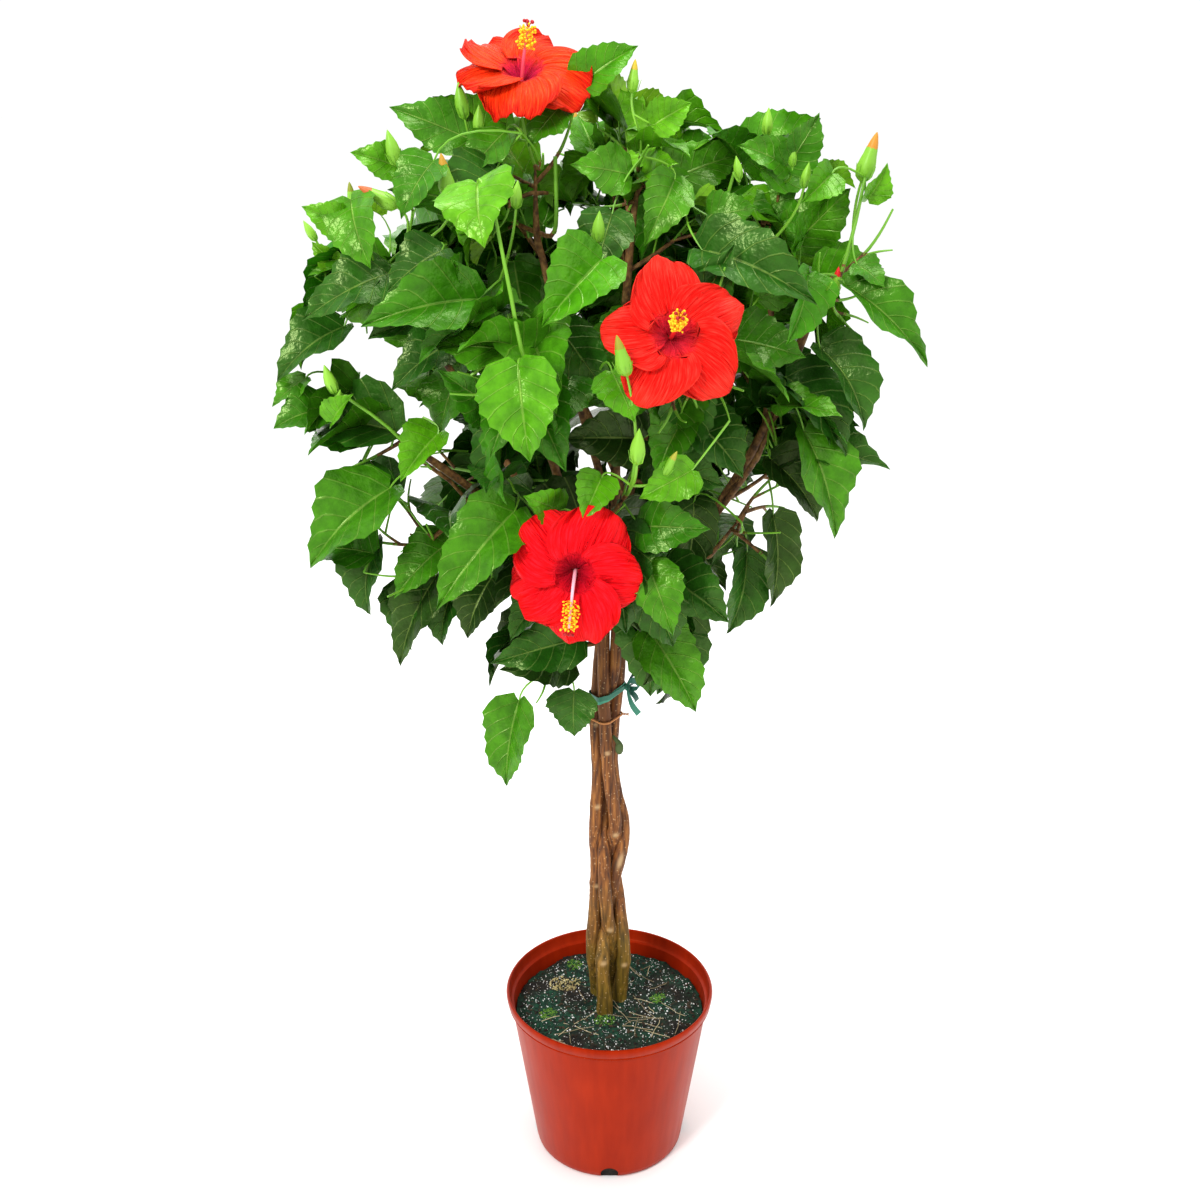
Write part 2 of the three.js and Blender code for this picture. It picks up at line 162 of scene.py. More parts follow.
def settle(obj, nodes=(), smooth=math.radians(38)):
    """Finishes a piece: its place goes into its mesh, and it rides on the plant's one body."""
    bpy.ops.object.select_all(action="DESELECT")
    bpy.context.view_layer.objects.active = obj
    obj.select_set(True)
    bpy.ops.object.transform_apply()
    bpy.ops.object.shade_smooth_by_angle(angle=smooth)
    obj.select_set(False)
    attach(obj, "root")
    if nodes:
        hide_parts(*nodes)
    return obj


pot_low, pot_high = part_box("pot")
POT_LIP = pot_high.x
POT_TOP = pot_high.z
POT_FOOT = 0.093
POT_WALL = 0.0022
LIP_BAND = 0.015  # height of the rolled lip
LIP_REACH = 0.006  # how far it stands out from the wall
LEDGE = 0.003  # depth of the ledge inside

band_foot = POT_TOP - LIP_BAND
wall_top = POT_LIP - LIP_REACH
wall = [
    (POT_FOOT + (wall_top - POT_FOOT) * share, 0.009 + (band_foot - 0.0095) * share)
    for share in (0, 0.08, 0.2, 0.35, 0.5, 0.65, 0.8, 0.92, 1)
]
outside = [(POT_FOOT - 0.008, 0), (POT_FOOT - 0.004, 0.0008), (POT_FOOT - 0.0012, 0.0032), *wall]
band = [
    (POT_LIP - 0.0030, band_foot + 0.0002),
    (POT_LIP - 0.0018, band_foot + 0.0012),
    (POT_LIP - 0.0026, band_foot + 0.0024),
    (POT_LIP - 0.0012, band_foot + 0.0040),
    (POT_LIP - 0.0002, POT_TOP - 0.0050),
    (POT_LIP, POT_TOP - 0.0026),
    (POT_LIP - 0.0009, POT_TOP - 0.0006),
    (POT_LIP - 0.0022, POT_TOP),
    (POT_LIP - 0.0034, POT_TOP - 0.0007),
    (POT_LIP - 0.0040, POT_TOP - 0.0026),
    (wall_top + 0.0008, band_foot + 0.0026),
    (wall_top - 0.0006, band_foot + 0.0010),
    (wall_top - LEDGE, band_foot - 0.0002),
]
inside = [(wall_top - LEDGE - 0.0004, band_foot - 0.002)] + [
    (radius - POT_WALL - 0.0008, height) for radius, height in reversed(wall[1:-1])
]
inside += [(POT_FOOT - POT_WALL - 0.001, 0.0095), (POT_FOOT - 0.010, POT_WALL)]

bpy.ops.mesh.primitive_circle_add(vertices=128, radius=outside[0][0], fill_type="NGON")
pot = bpy.context.object
pot.name = "grower_pot"
edit(pot)
bpy.ops.mesh.select_all(action="SELECT")
rings([*outside, *band, *inside])
bpy.ops.mesh.select_all(action="SELECT")
bpy.ops.mesh.normals_make_consistent(inside=False)
bpy.ops.object.mode_set(mode="OBJECT")

DRAIN_RADIUS = 0.011
DRAIN_LEVEL = 0.006
DRAIN_DEPTH = 0.026
DRAIN_OUT = POT_FOOT + 0.001  # how far out the middle of each punch is
for turn in range(4):
    angle = turn * math.pi / 2
    bpy.ops.mesh.primitive_cylinder_add(
        vertices=32,
        radius=DRAIN_RADIUS,
        depth=DRAIN_DEPTH,
        location=(DRAIN_OUT * math.sin(angle), -DRAIN_OUT * math.cos(angle), DRAIN_LEVEL),
        rotation=(math.pi / 2, 0, angle),
    )
    punch = bpy.context.object
    hole = pot.modifiers.new("drain", "BOOLEAN")
    hole.object = punch
    bpy.context.view_layer.objects.active = pot
    bpy.ops.object.modifier_apply(modifier=hole.name)
    bpy.data.objects.remove(punch)

# Polypropylene has a waxy satin gloss, with faint streaks down the wall where it was blown.
STREAK_WIDTH = 0.009
SKIN_GRAIN = 0.0012
plastic = material("moulded_polypropylene", IOR=1.49, Specular_IOR_Level=0.4, Specular_Tint="#E88058")
where = add(plastic, "TexCoord", out="Object")
drawn = add(plastic, "Mapping", {"Vector": where, "Scale": (1, 1, 0.04)})
streaks = add(plastic, "TexNoise", {"Vector": drawn, "Scale": 1 / STREAK_WIDTH, "Detail": 4})
clouds = add(plastic, "TexNoise", {"Vector": where, "Scale": 14, "Detail": 3}, out="Color")
blend = {0: 0.45, 6: streaks.node.outputs["Color"], 7: clouds}
shade = add(plastic, "Mix", blend, out=2, data_type="RGBA")
tone = add(plastic, "ValToRGB", {"Fac": shade}, stops=[(0.34, "#8C1E04"), (0.7, "#A82E0B")])
grain = add(plastic, "TexNoise", {"Vector": where, "Scale": 1 / SKIN_GRAIN, "Detail": 2})
bump = add(plastic, "Bump", {"Height": grain, "Strength": 0.06, "Distance": 0.0004})
rough = add(plastic, "MapRange", {"Value": streaks, "To Min": 0.28, "To Max": 0.46})
feed(plastic, Base_Color=tone, Normal=bump, Roughness=rough)
pot.data.materials.append(plastic)
settle(pot, ["pot"])


# ------------------------------------------------------------------ Potting mix
# Damp peat and bark with perlite through it, green with algae where it stays wet. The top is
# lumpy and dips at the wall, and bits of straw and dead stalk lie about on it.
mix_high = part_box("potting_mix")[1]
MIX_RADIUS = mix_high.x + 0.0005
MIX_TOP = mix_high.z
MIX_MESH = 0.0016  # spacing of the mesh, fine enough for the crumbs
MIX_FOOT = (POT_FOOT - 0.0035, 0.0008)  # radius and height of its lower edge, on the pot's floor


def mix_height(x, y):
    """How high the lumpy top is at a place."""
    spot = Vector((x, y, 0))
    lumps = 0.0045 * noise.noise(spot * 28) + 0.0022 * noise.noise(spot * 95)
    crumbs = 0.0016 * abs(noise.noise(spot * 260)) + 0.0010 * noise.noise(spot * 520)
    reach = math.hypot(x, y) / MIX_RADIUS
    return MIX_TOP + 0.002 * (1 - reach) - 0.004 * max(0, reach - 0.85) / 0.15 + lumps + crumbs


cells = round(2 * MIX_RADIUS / MIX_MESH)
bpy.ops.mesh.primitive_grid_add(x_subdivisions=cells, y_subdivisions=cells, size=2 * MIX_RADIUS)
mix = bpy.context.object
mix.name = "potting_mix_top"
top = bmesh.new()
top.from_mesh(mix.data)
bmesh.ops.delete(top, geom=[v for v in top.verts if v.co.length > MIX_RADIUS], context="VERTS")
for v in top.verts:
    v.co.z = mix_height(v.co.x, v.co.y)
rim = [e for e in top.edges if e.is_boundary]
skirt = bmesh.ops.extrude_edge_only(top, edges=rim)["geom"]
for v in [part for part in skirt if isinstance(part, bmesh.types.BMVert)]:
    v.co.x *= MIX_FOOT[0] / MIX_RADIUS
    v.co.y *= MIX_FOOT[0] / MIX_RADIUS
    v.co.z = MIX_FOOT[1]
bmesh.ops.holes_fill(top, edges=[e for e in top.edges if e.is_boundary])
bmesh.ops.recalc_face_normals(top, faces=top.faces)
top.to_mesh(mix.data)
top.free()

# Wet peat is matt and nearly black, with paler crumbs. The algae keep to patches of its top.
PEAT_CRUMB = 0.004
ALGAE_PATCH = 0.05
peat = material("damp_peat_and_bark", Roughness=0.9)
where = add(peat, "TexCoord", out="Object")
crumb = add(peat, "TexNoise", {"Vector": where, "Scale": 1 / PEAT_CRUMB, "Detail": 6, "Roughness": 0.7})
PEAT_BROWNS = [(0.40, "#080705"), (0.64, "#2A2419"), (0.78, "#5B5140")]
ALGAE_GREENS = [(0.38, "#03120C"), (0.62, "#16533A")]
brown = add(peat, "ValToRGB", {"Fac": crumb}, stops=PEAT_BROWNS)
algae = add(peat, "ValToRGB", {"Fac": crumb}, stops=ALGAE_GREENS)
patch = add(peat, "TexNoise", {"Vector": where, "Scale": 1 / ALGAE_PATCH, "Detail": 3})
wet = add(peat, "MapRange", {"Value": patch, "From Min": 0.38, "From Max": 0.55, "To Max": 0.9})
height = add(peat, "SeparateXYZ", {"Vector": where}, out="Z")
lit = add(peat, "MapRange", {"Value": height, "From Min": MIX_TOP - 0.03, "From Max": MIX_TOP - 0.015})
grown_over = add(peat, "Math", {0: wet, 1: lit}, operation="MULTIPLY")
feed(peat, Base_Color=add(peat, "Mix", {0: grown_over, 6: brown, 7: algae}, out=2, data_type="RGBA"))
mix.data.materials.append(peat)
settle(mix, ["potting_mix"], smooth=math.radians(70))


class Heap:
    """Many small shapes joined in one mesh, each with a tint of its own and a pattern map."""

    def __init__(self):
        self.verts, self.faces, self.tints, self.maps = [], [], [], []

    def add(self, verts, faces, tint=0.0, uvs=None):
        """Adds one shape."""
        start = len(self.verts)
        self.verts += verts
        self.faces += [[start + i for i in face] for face in faces]
        self.tints += [tint] * len(verts)
        self.maps += uvs or [(0.0, 0.0)] * len(verts)

    def piece(self, name, made, slot, nodes=(), smooth=math.radians(60)):
        """Makes the heap a finished piece of one material."""
        mesh = bpy.data.meshes.new(name)
        mesh.from_pydata(self.verts, [], self.faces)
        mesh.attributes.new("tint", "FLOAT", "POINT").data.foreach_set("value", self.tints)
        corners = mesh.uv_layers.new(name="shape_map").data
        for loop, corner in zip(mesh.loops, corners):
            corner.uv = self.maps[loop.vertex_index]
        mesh.materials.append(made)
        obj = bpy.data.objects.new(name, mesh)
        bpy.context.collection.objects.link(obj)
        return settle(obj, nodes, smooth)


def taken():
    """Takes the active object's mesh as vertices and faces, and removes the object."""
    obj = bpy.context.object
    verts = [v.co.copy() for v in obj.data.vertices]
    faces = [list(p.vertices) for p in obj.data.polygons]
    bpy.data.objects.remove(obj)
    return verts, faces


def placed(verts, matrix):
    """The vertices moved by a matrix."""
    return [matrix @ v for v in verts]


def turned(rng):
    """A random turn, as a matrix."""
    axis = Vector([rng.uniform(-1, 1) for _ in range(3)]).normalized()
    return Matrix.Rotation(rng.uniform(0, 2 * math.pi), 4, axis)


bpy.ops.mesh.primitive_ico_sphere_add(subdivisions=1, radius=1)
grain_shape = taken()
soil_rng = random.Random(5)


def on_mix(reach=0.95, rng=soil_rng):
    """A random place on the mix, even over its area."""
    radius = MIX_RADIUS * reach * math.sqrt(rng.random())
    angle = rng.uniform(0, 2 * math.pi)
    x, y = radius * math.cos(angle), radius * math.sin(angle)
    return Vector((x, y, mix_height(x, y)))


def crumb_on(heap, sizes, at):
    """Adds one angular grain of the given sizes to a heap, turned at random."""
    place = Matrix.Translation(at) @ turned(soil_rng) @ Matrix.Diagonal((*sizes, 1))
    heap.add(placed(grain_shape[0], place), grain_shape[1], soil_rng.uniform(-1, 1))


PERLITE_COUNT = 1700
CHIP_COUNT = 900
perlite = Heap()
chips = Heap()
for _ in range(PERLITE_COUNT):
    size = 0.0005 + 0.0010 * soil_rng.random() ** 3
    sizes = (size, size * soil_rng.uniform(0.6, 1), size * soil_rng.uniform(0.5, 0.9))
    crumb_on(perlite, sizes, on_mix())
for _ in range(CHIP_COUNT):
    size = soil_rng.uniform(0.0012, 0.0036)
    crumb_on(chips, (size, size * 0.6, size * 0.35), on_mix())


def tinted(name, low, high, **shader):
    """A material whose colour runs from low to high with each small shape's own tint."""
    made = material(name, **shader)
    tint = add(made, "Attribute", out="Fac", attribute_name="tint")
    share = add(made, "MapRange", {"Value": tint, "From Min": -1, "From Max": 1})
    feed(made, Base_Color=add(made, "Mix", {0: share, 6: low, 7: high}, out=2, data_type="RGBA"))
    return made


GRIT_SMOOTH = 0.3  # the angle, in radians, up to which an angular grain is shaded smooth
white_grit = tinted("perlite", "#BDBDB4", "#FFFFFF", Roughness=0.85)
perlite.piece("perlite_grains", white_grit, "perlite", smooth=GRIT_SMOOTH)
composted = tinted("composted_bark", "#120F0B", "#4A3B28", Roughness=0.85)
chips.piece("bark_chips", composted, "potting_mix", smooth=GRIT_SMOOTH)


def catmull(points, t):
    """The point at share t along a smooth line through the points."""
    spans = len(points) - 1
    i = min(int(t * spans), spans - 1)
    u = t * spans - i
    a, b, c, d = (points[min(max(i + k, 0), spans)] for k in (-1, 0, 1, 2))
    square, cube = 2 * a - 5 * b + 4 * c - d, 3 * b - a - 3 * c + d
    return (2 * b + (c - a) * u + square * u**2 + cube * u**3) / 2


def sheet_faces(rows, wide, closed=False):
    """The faces of points laid in rows: an open sheet, or one closed on itself along each row."""
    faces = []
    for row in range(rows - 1):
        for k in range(wide if closed else wide - 1):
            a, b = row * wide + k, row * wide + (k + 1) % wide
            faces.append([a, b, b + wide, a + wide])
    return faces


def tube(line, sides, relief=None):
    """A closed tube round a line of (x, y, z, radius), as vertices and faces."""
    verts = []
    side = None
    for i, spot in enumerate(line):
        along = (line[min(i + 1, len(line) - 1)] - line[max(i - 1, 0)]).to_3d().normalized()
        side = side or along.orthogonal()
        side = (side - along * side.dot(along)).normalized()
        other = along.cross(side)
        for k in range(sides):
            angle = 2 * math.pi * k / sides
            out = side * math.cos(angle) + other * math.sin(angle)
            reach = spot[3] * (1 + relief(spot.to_3d() + out * spot[3])) if relief else spot[3]
            verts.append(spot.to_3d() + out * reach)
    ends = [list(range(sides))[::-1], [len(verts) - sides + k for k in range(sides)]]
    return verts, sheet_faces(len(line), sides, closed=True) + ends


STRAW_COUNT = 38
straw = Heap()
for _ in range(STRAW_COUNT):
    middle = on_mix(0.88)
    half = soil_rng.uniform(0.006, 0.026)
    angle = soil_rng.uniform(0, 2 * math.pi)
    line = []
    for share in (-1, -0.3, 0.4, 1):
        bend = soil_rng.uniform(-0.15, 0.15)
        x = middle.x + half * share * math.cos(angle + bend)
        y = middle.y + half * share * math.sin(angle + bend)
        if math.hypot(x, y) > MIX_RADIUS * 0.97:
            continue
        line.append(Vector((x, y, mix_height(x, y) + soil_rng.uniform(0.0003, 0.002), 0.00045)))
    if len(line) > 2:
        straw.add(*tube(line, 5), soil_rng.uniform(-1, 1))
straw.piece("straw_bits", tinted("dry_straw", "#6E6246", "#CFC09A", Roughness=0.7), "potting_mix")

fibre = Heap()
moss = Heap()
CLUMPS = [  # heap, x, y, spread, how much wider than deep, count, grain sizes, grain shape, lift
    (fibre, -0.056, 0.037, 0.016, 1.3, 150, (0.0008, 0.0026), (1, 0.5, 0.4), 0.001),
]
MOSS_SPOTS = [
    (-0.044, 0.079, 0.010), (-0.006, -0.036, 0.013), (-0.075, -0.022, 0.011),
    (0.060, 0.010, 0.010),
]
CLUMPS += [(moss, *spot, 1, 160, (0.0005, 0.0014), (1, 0.7, 0.7), 0.0004) for spot in MOSS_SPOTS]
for heap, x0, y0, spread, wide, count, sizes, shape, lift in CLUMPS:
    for _ in range(count):
        angle = soil_rng.uniform(0, 2 * math.pi)
        radius = spread * math.sqrt(soil_rng.random())
        x, y = x0 + radius * wide * math.cos(angle), y0 + radius * math.sin(angle)
        size = soil_rng.uniform(*sizes)
        crumb_on(heap, [size * part for part in shape], (x, y, mix_height(x, y) + lift))
coir = tinted("coir_fibre", "#8A7A4C", "#D8CB96", Roughness=0.8)
fibre.piece("fibre_clump", coir, "potting_mix", smooth=GRIT_SMOOTH)
cushion_moss = tinted("moss", "#2E6A22", "#7FA83A", Roughness=0.8)
moss.piece("moss_clumps", cushion_moss, "potting_mix", smooth=GRIT_SMOOTH)


# ------------------------------------------------------------------ Stems and boughs
# The solids give every limb's line and thickness. The stems have thin furrowed bark, brown
# above and olive green at the foot, with pale scars where side shoots were rubbed off.
def slice_of(mesh, point, normal):
    """Where a plane cuts a limb: the middle of the cut, with its radius as a fourth number."""
    cut = bmesh.new()
    cut.from_mesh(mesh)
    parts = cut.verts[:] + cut.edges[:] + cut.faces[:]
    made = bmesh.ops.bisect_plane(cut, geom=parts, plane_co=point, plane_no=normal)
    edges = [part for part in made["geom_cut"] if isinstance(part, bmesh.types.BMEdge)]
    length = sum(e.calc_length() for e in edges)
    middle = sum(((e.verts[0].co + e.verts[1].co) / 2 * e.calc_length() for e in edges), Vector())
    cut.free()
    return Vector((*(middle / length), length / (2 * math.pi)))


def line_of(mesh, foot, head, count):
    """A limb's line from foot to head, read from its solid, with the steps smoothed out."""
    line = []
    for i in range(count):
        share = 0.02 + 0.96 * i / (count - 1)
        line.append(slice_of(mesh, foot.lerp(head, share), head - foot))
    for _ in range(2):
        between = [(a + 2 * b + c) / 4 for a, b, c in zip(line, line[1:], line[2:])]
        line = [line[0], *between, line[-1]]
    return line


def ends_of(mesh):
    """The two points of a limb that are furthest apart."""
    spots = [v.co for v in mesh.vertices]
    first = max(spots, key=lambda p: (p - spots[0]).length)
    second = max(spots, key=lambda p: (p - first).length)
    return first, second


STEM_ROW = 0.0024  # spacing of the mesh along a stem
STEM_SIDES = 28
STEM_READS = 48  # places along a stem, and along a bough, where its solid is measured
BOUGH_READS = 12
STEM_SUNK = 0.004  # how far a stem's ends go into the mix and into the fork
SCARS = [  # stem, height, half length of the scar
    ("stem_right", 0.436, 0.006),
    ("stem_right", 0.545, 0.004),
    ("stem_right", 0.252, 0.005),
    ("stem_left", 0.362, 0.004),
    ("stem_left", 0.472, 0.005),
    ("stem_left", 0.575, 0.004),
    ("stem_back", 0.306, 0.006),
    ("stem_front", 0.262, 0.005),
    ("stem_front", 0.398, 0.017),
]

stems = {}
bark = Heap()
for name in sorted(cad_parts):
    if not name.startswith("stem_"):
        continue
    low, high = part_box(name)
    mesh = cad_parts[name].data
    line = line_of(mesh, Vector((0, 0, low.z)), Vector((0, 0, high.z)), STEM_READS)
    foot, head = line[0].copy(), line[-1].copy()
    foot.z, head.z = low.z - STEM_SUNK, high.z + STEM_SUNK
    stems[name] = [foot, *line, head]
    scars = [(height, half) for stem, height, half in SCARS if stem == name]
    phase = len(stems) * 7.3

    def furrows(spot, scars=scars, phase=phase):
        """Long furrows, fine ones, swellings and scars, as a share of the stem's radius."""
        long = noise.noise(Vector((spot.x * 420 + phase, spot.y * 420, spot.z * 34)))
        fine = noise.noise(Vector((spot.x * 1100, spot.y * 1100 + phase, spot.z * 260)))
        knobs = noise.noise(Vector((spot.x * 60, spot.y * 60, spot.z * 46 + phase)))
        bulge = sum(0.09 * math.exp(-(((spot.z - h) / half) ** 2)) for h, half in scars if half < 0.01)
        return 0.05 * long + 0.03 * fine + 0.06 * knobs + bulge - 0.085

    count = round((high.z - low.z) / STEM_ROW)
    fine_line = [catmull(stems[name], i / count) for i in range(count + 1)]
    verts, faces = tube(fine_line, STEM_SIDES, furrows)
    start = len(bark.verts)
    bark.add(verts, faces)
    for i, v in enumerate(verts):
        spot = catmull(stems[name], min(1, max(0, (v.z - low.z) / (high.z - low.z))))
        facing = max(0, (v - spot.to_3d()).normalized().dot(Vector((0.15, -1, 0)).normalized()))
        pale = sum(math.exp(-(((v.z - h) / half * 1.9) ** 2)) * facing**14 for h, half in scars)
        bark.tints[start + i] = min(0.55, 0.8 * pale)

boughs = {}
for name in sorted(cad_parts):
    if not name.startswith("bough_"):
        continue
    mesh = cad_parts[name].data
    first, second = ends_of(mesh)
    line = line_of(mesh, first, second, BOUGH_READS)
    if line[0][3] < line[-1][3]:
        line.reverse()
    boughs[name] = line


def crown_mass(name):
    """A mass of leaves: its middle, its surface, and the points that stand out from it."""
    shape = bmesh.new()
    shape.from_mesh(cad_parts[name].data)
    bmesh.ops.remove_doubles(shape, verts=shape.verts, dist=1e-5)
    middle = sum((v.co for v in shape.verts), Vector()) / len(shape.verts)
    surface = BVHTree.FromBMesh(shape)
    spurs = []
    for v in shape.verts:
        reach = (v.co - middle).length
        if all(reach > (e.other_vert(v).co - middle).length + 0.014 for e in v.link_edges):
            spurs.append(v.co.copy())
    shape.free()
    return middle, surface, spurs


masses = {name: crown_mass(name) for name in sorted(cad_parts) if name.startswith("leaves_")}
SHARED_BOUGHS = {"leaves_right_upper": "bough_right", "leaves_back_right_upper": "bough_back"}
hubs = {}  # each mass's bough head, and the place inside the mass that its shoots fan out from
for name, (middle, surface, spurs) in masses.items():
    bough = SHARED_BOUGHS.get(name, name.replace("leaves_", "bough_"))
    line = boughs[bough]
    if (line[0].to_3d() - middle).length < (line[-1].to_3d() - middle).length:
        line.reverse()
    head = line[-1]
    hubs[name] = (head, Vector((*head.to_3d().lerp(middle, 0.8), head[3] * 0.3)), bough)


def bark_furrows(spot):
    """The shallow furrows of a bough's bark, as a share of its radius."""
    long = noise.noise(Vector((spot.x * 500, spot.y * 500, spot.z * 60)))
    return 0.06 * long + 0.05 * noise.noise(spot * 70)


BOUGH_STEPS = 44
limb_bark = Heap()
for name, line in boughs.items():
    foot = line[0] + (line[0] - line[1]).normalized() * 0.008
    foot[3] = line[0][3] * 1.05
    own = [hub for head, hub, bough in hubs.values() if bough == name]
    whole = [foot, *line, *own[:1]]
    smooth = [catmull(whole, i / BOUGH_STEPS) for i in range(BOUGH_STEPS + 1)]
    limb_bark.add(*tube(smooth, 14, bark_furrows))

# Young bark is thin and satiny. It is streaked lengthways, and dotted with pale pores.
BARK_STREAK = 0.0035
PORE_SPACING = 0.0045
GREEN_TO = MIX_TOP + 0.075  # the green foot fades out from here upwards
GREEN_FADE = 0.19
stem_bark = material("hibiscus_bark", Roughness=0.66)
where = add(stem_bark, "TexCoord", out="Object")
drawn = add(stem_bark, "Mapping", {"Vector": where, "Scale": (1, 1, 0.09)})
streak = add(stem_bark, "TexNoise", {"Vector": drawn, "Scale": 1 / BARK_STREAK, "Detail": 6})
BARK_BROWNS = [(0.3, "#3E200A"), (0.5, "#744418"), (0.7, "#A46C30")]
BARK_GREENS = [(0.3, "#4E4408"), (0.5, "#6E5E10"), (0.7, "#927A26")]
wood = add(stem_bark, "ValToRGB", {"Fac": streak}, stops=BARK_BROWNS)
foot_skin = add(stem_bark, "ValToRGB", {"Fac": streak}, stops=BARK_GREENS)
height = add(stem_bark, "SeparateXYZ", {"Vector": where}, out="Z")
patch = add(stem_bark, "TexNoise", {"Vector": where, "Scale": 26, "Detail": 2})
ragged = add(stem_bark, "Math", {0: patch, 1: 0.16, 2: height}, operation="MULTIPLY_ADD")
fade = {"Value": ragged, "From Min": GREEN_TO, "From Max": GREEN_TO + GREEN_FADE}
high_up = add(stem_bark, "MapRange", fade)
base = add(stem_bark, "Mix", {0: high_up, 6: foot_skin, 7: wood}, out=2, data_type="RGBA")
pores = add(stem_bark, "TexVoronoi", {"Vector": where, "Scale": 1 / PORE_SPACING})
pores = add(stem_bark, "MapRange", {"Value": pores, "From Min": 0.22, "From Max": 0.12, "To Max": 0.5})
scar = add(stem_bark, "Attribute", out="Fac", attribute_name="tint")
pale = add(stem_bark, "Math", {0: pores, 1: scar}, operation="MAXIMUM")
base = add(stem_bark, "Mix", {0: pale, 6: base, 7: "#D9B98A"}, out=2, data_type="RGBA")
bump = add(stem_bark, "Bump", {"Height": streak, "Strength": 0.5, "Distance": 0.0012})
feed(stem_bark, Base_Color=base, Normal=bump)
bark.piece("plaited_stems", stem_bark, "bark", list(stems))

BOUGH_MOTTLE = 0.006
bough_bark = material("young_hibiscus_bark", Roughness=0.62)
where = add(bough_bark, "TexCoord", out="Object")
mottle = add(bough_bark, "TexNoise", {"Vector": where, "Scale": 1 / BOUGH_MOTTLE, "Detail": 5})
BOUGH_BROWNS = [(0.32, "#4A3014"), (0.5, "#7A5428"), (0.7, "#A57E48")]
wood = add(bough_bark, "ValToRGB", {"Fac": mottle}, stops=BOUGH_BROWNS)
bump = add(bough_bark, "Bump", {"Height": mottle, "Strength": 0.4, "Distance": 0.001})
feed(bough_bark, Base_Color=wood, Normal=bump)
limb_bark.piece("boughs", bough_bark, "bough_bark", list(boughs))


# ------------------------------------------------------------------ Blooms
# Three open flowers, each of five thin ruffled petals round a long column with the anthers in a
# brush near its end and five dark stigmas beyond them. Each stands on a green calyx and stalk.
# Each bloom's light colour is a painted highlight: patches of its petals are mixed toward it as painted
# sheen.
BLOOMS = [
    dict(
        name="top_bloom",
        middle=Vector((-0.086, -0.036, 1.274)),
        facing=Vector((0.06, -0.52, 0.85)),
        column=Vector((0.16, -0.08, 1.0)),
        column_length=0.042,
        first_petal=265, reach=0.066, cup=0.007, point=0.08, spread=0.62, seed=3,
        throat="#E4105E", petal="#E8340A", edge="#CE1606", light="#FF7A30",
        column_stuff=("pink_column", "#E8546A"),
    ),
    dict(
        name="middle_bloom",
        middle=Vector((0.054, -0.196, 1.055)),
        facing=Vector((0.10, -0.93, 0.34)),
        column=Vector((0.12, -0.80, 0.62)),
        column_length=0.034,
        first_petal=100, reach=0.068, cup=0.006, point=0.30, spread=0.54, seed=8,
        throat="#EE2A48", petal="#E81612", edge="#EC2C20", light="#FF6E5C",
        column_stuff=("coral_column", "#E02A30"),
    ),
    dict(
        name="low_bloom",
        middle=Vector((-0.036, -0.190, 0.826)),
        facing=Vector((-0.05, -0.97, 0.10)),
        column=Vector((-0.10, -0.42, -0.90)),
        column_length=0.054,
        first_petal=63, reach=0.068, cup=0.008, point=0.14, spread=0.60, seed=5,
        throat="#D0082C", petal="#EC0418", edge="#EA0E14", light="#FF4058",
        column_stuff=("pale_column", "#F6B6C4"),
    ),
]
PETAL_COLUMNS = 24
PETAL_ROWS = 22
PETAL_THICKNESS = 0.0006
UP = Vector((0, 0, 1))


def facing_frame(middle, facing):
    """A matrix whose Z is the way a flower faces and whose Y is as near to up as it can be."""
    z = facing.normalized()
    x = UP.cross(z).normalized()
    return Matrix.Translation(middle) @ Matrix((x, z.cross(x), z)).transposed().to_4x4()


def petal(bloom, turn, rng):
    """One petal as a sheet: a narrow claw deep in the throat, a broad fan, a ruffled edge."""
    reach = bloom["reach"] * rng.uniform(0.94, 1.06)
    phase = rng.uniform(0, 6.28)
    waves = rng.uniform(2.2, 3.0)
    recurve = rng.uniform(0.5, 1.4)
    verts, uvs = [], []
    for row in range(PETAL_ROWS + 1):
        v = row / PETAL_ROWS
        for column in range(PETAL_COLUMNS + 1):
            u = 2 * column / PETAL_COLUMNS - 1
            out = v * (1 - bloom["point"] * u * u * v)
            out += 0.016 * v**4 * math.sin(9 * u + phase)
            half = 0.14 + bloom["spread"] * math.sin(min(1, v / 0.76) * math.pi / 2) ** 1.3
            half *= math.sqrt(max(0, 1 - max(0, (v - 0.76) / 0.42) ** 2))
            across = u * half
            funnel = -0.21 * (1 - min(1, out / 0.36)) ** 1.6
            flare = bloom["cup"] / bloom["reach"] * math.sin(min(1, out) * math.pi)
            height = funnel + flare - 0.10 * recurve * max(0, out - 0.6) ** 1.5
            ruffle = math.sin(waves * math.pi * u + phase) * 0.065 * v**2.5
            ruffle += math.sin(2.6 * waves * math.pi * u - phase) * 0.030 * v**3
            ruffle += noise.noise(Vector((u * 2.2 + phase, v * 1.4, phase))) * 0.11 * v
            ruffle += noise.noise(Vector((u * 7 + phase, v * 5, phase))) * 0.030 * v
            crease = 0.10 * (abs(u) - 0.5) * v
            lapped = 0.11 * u * v
            angle = math.radians(turn) + across / max(0.18, out) * (1 if out > 0.3 else 0.6) * 0.92
            height = height + ruffle + crease + lapped
            verts.append(Vector((out * math.cos(angle), out * math.sin(angle), height)) * reach)
            uvs.append((0.5 + u / 2, v))
    return verts, sheet_faces(PETAL_ROWS + 1, PETAL_COLUMNS + 1), uvs


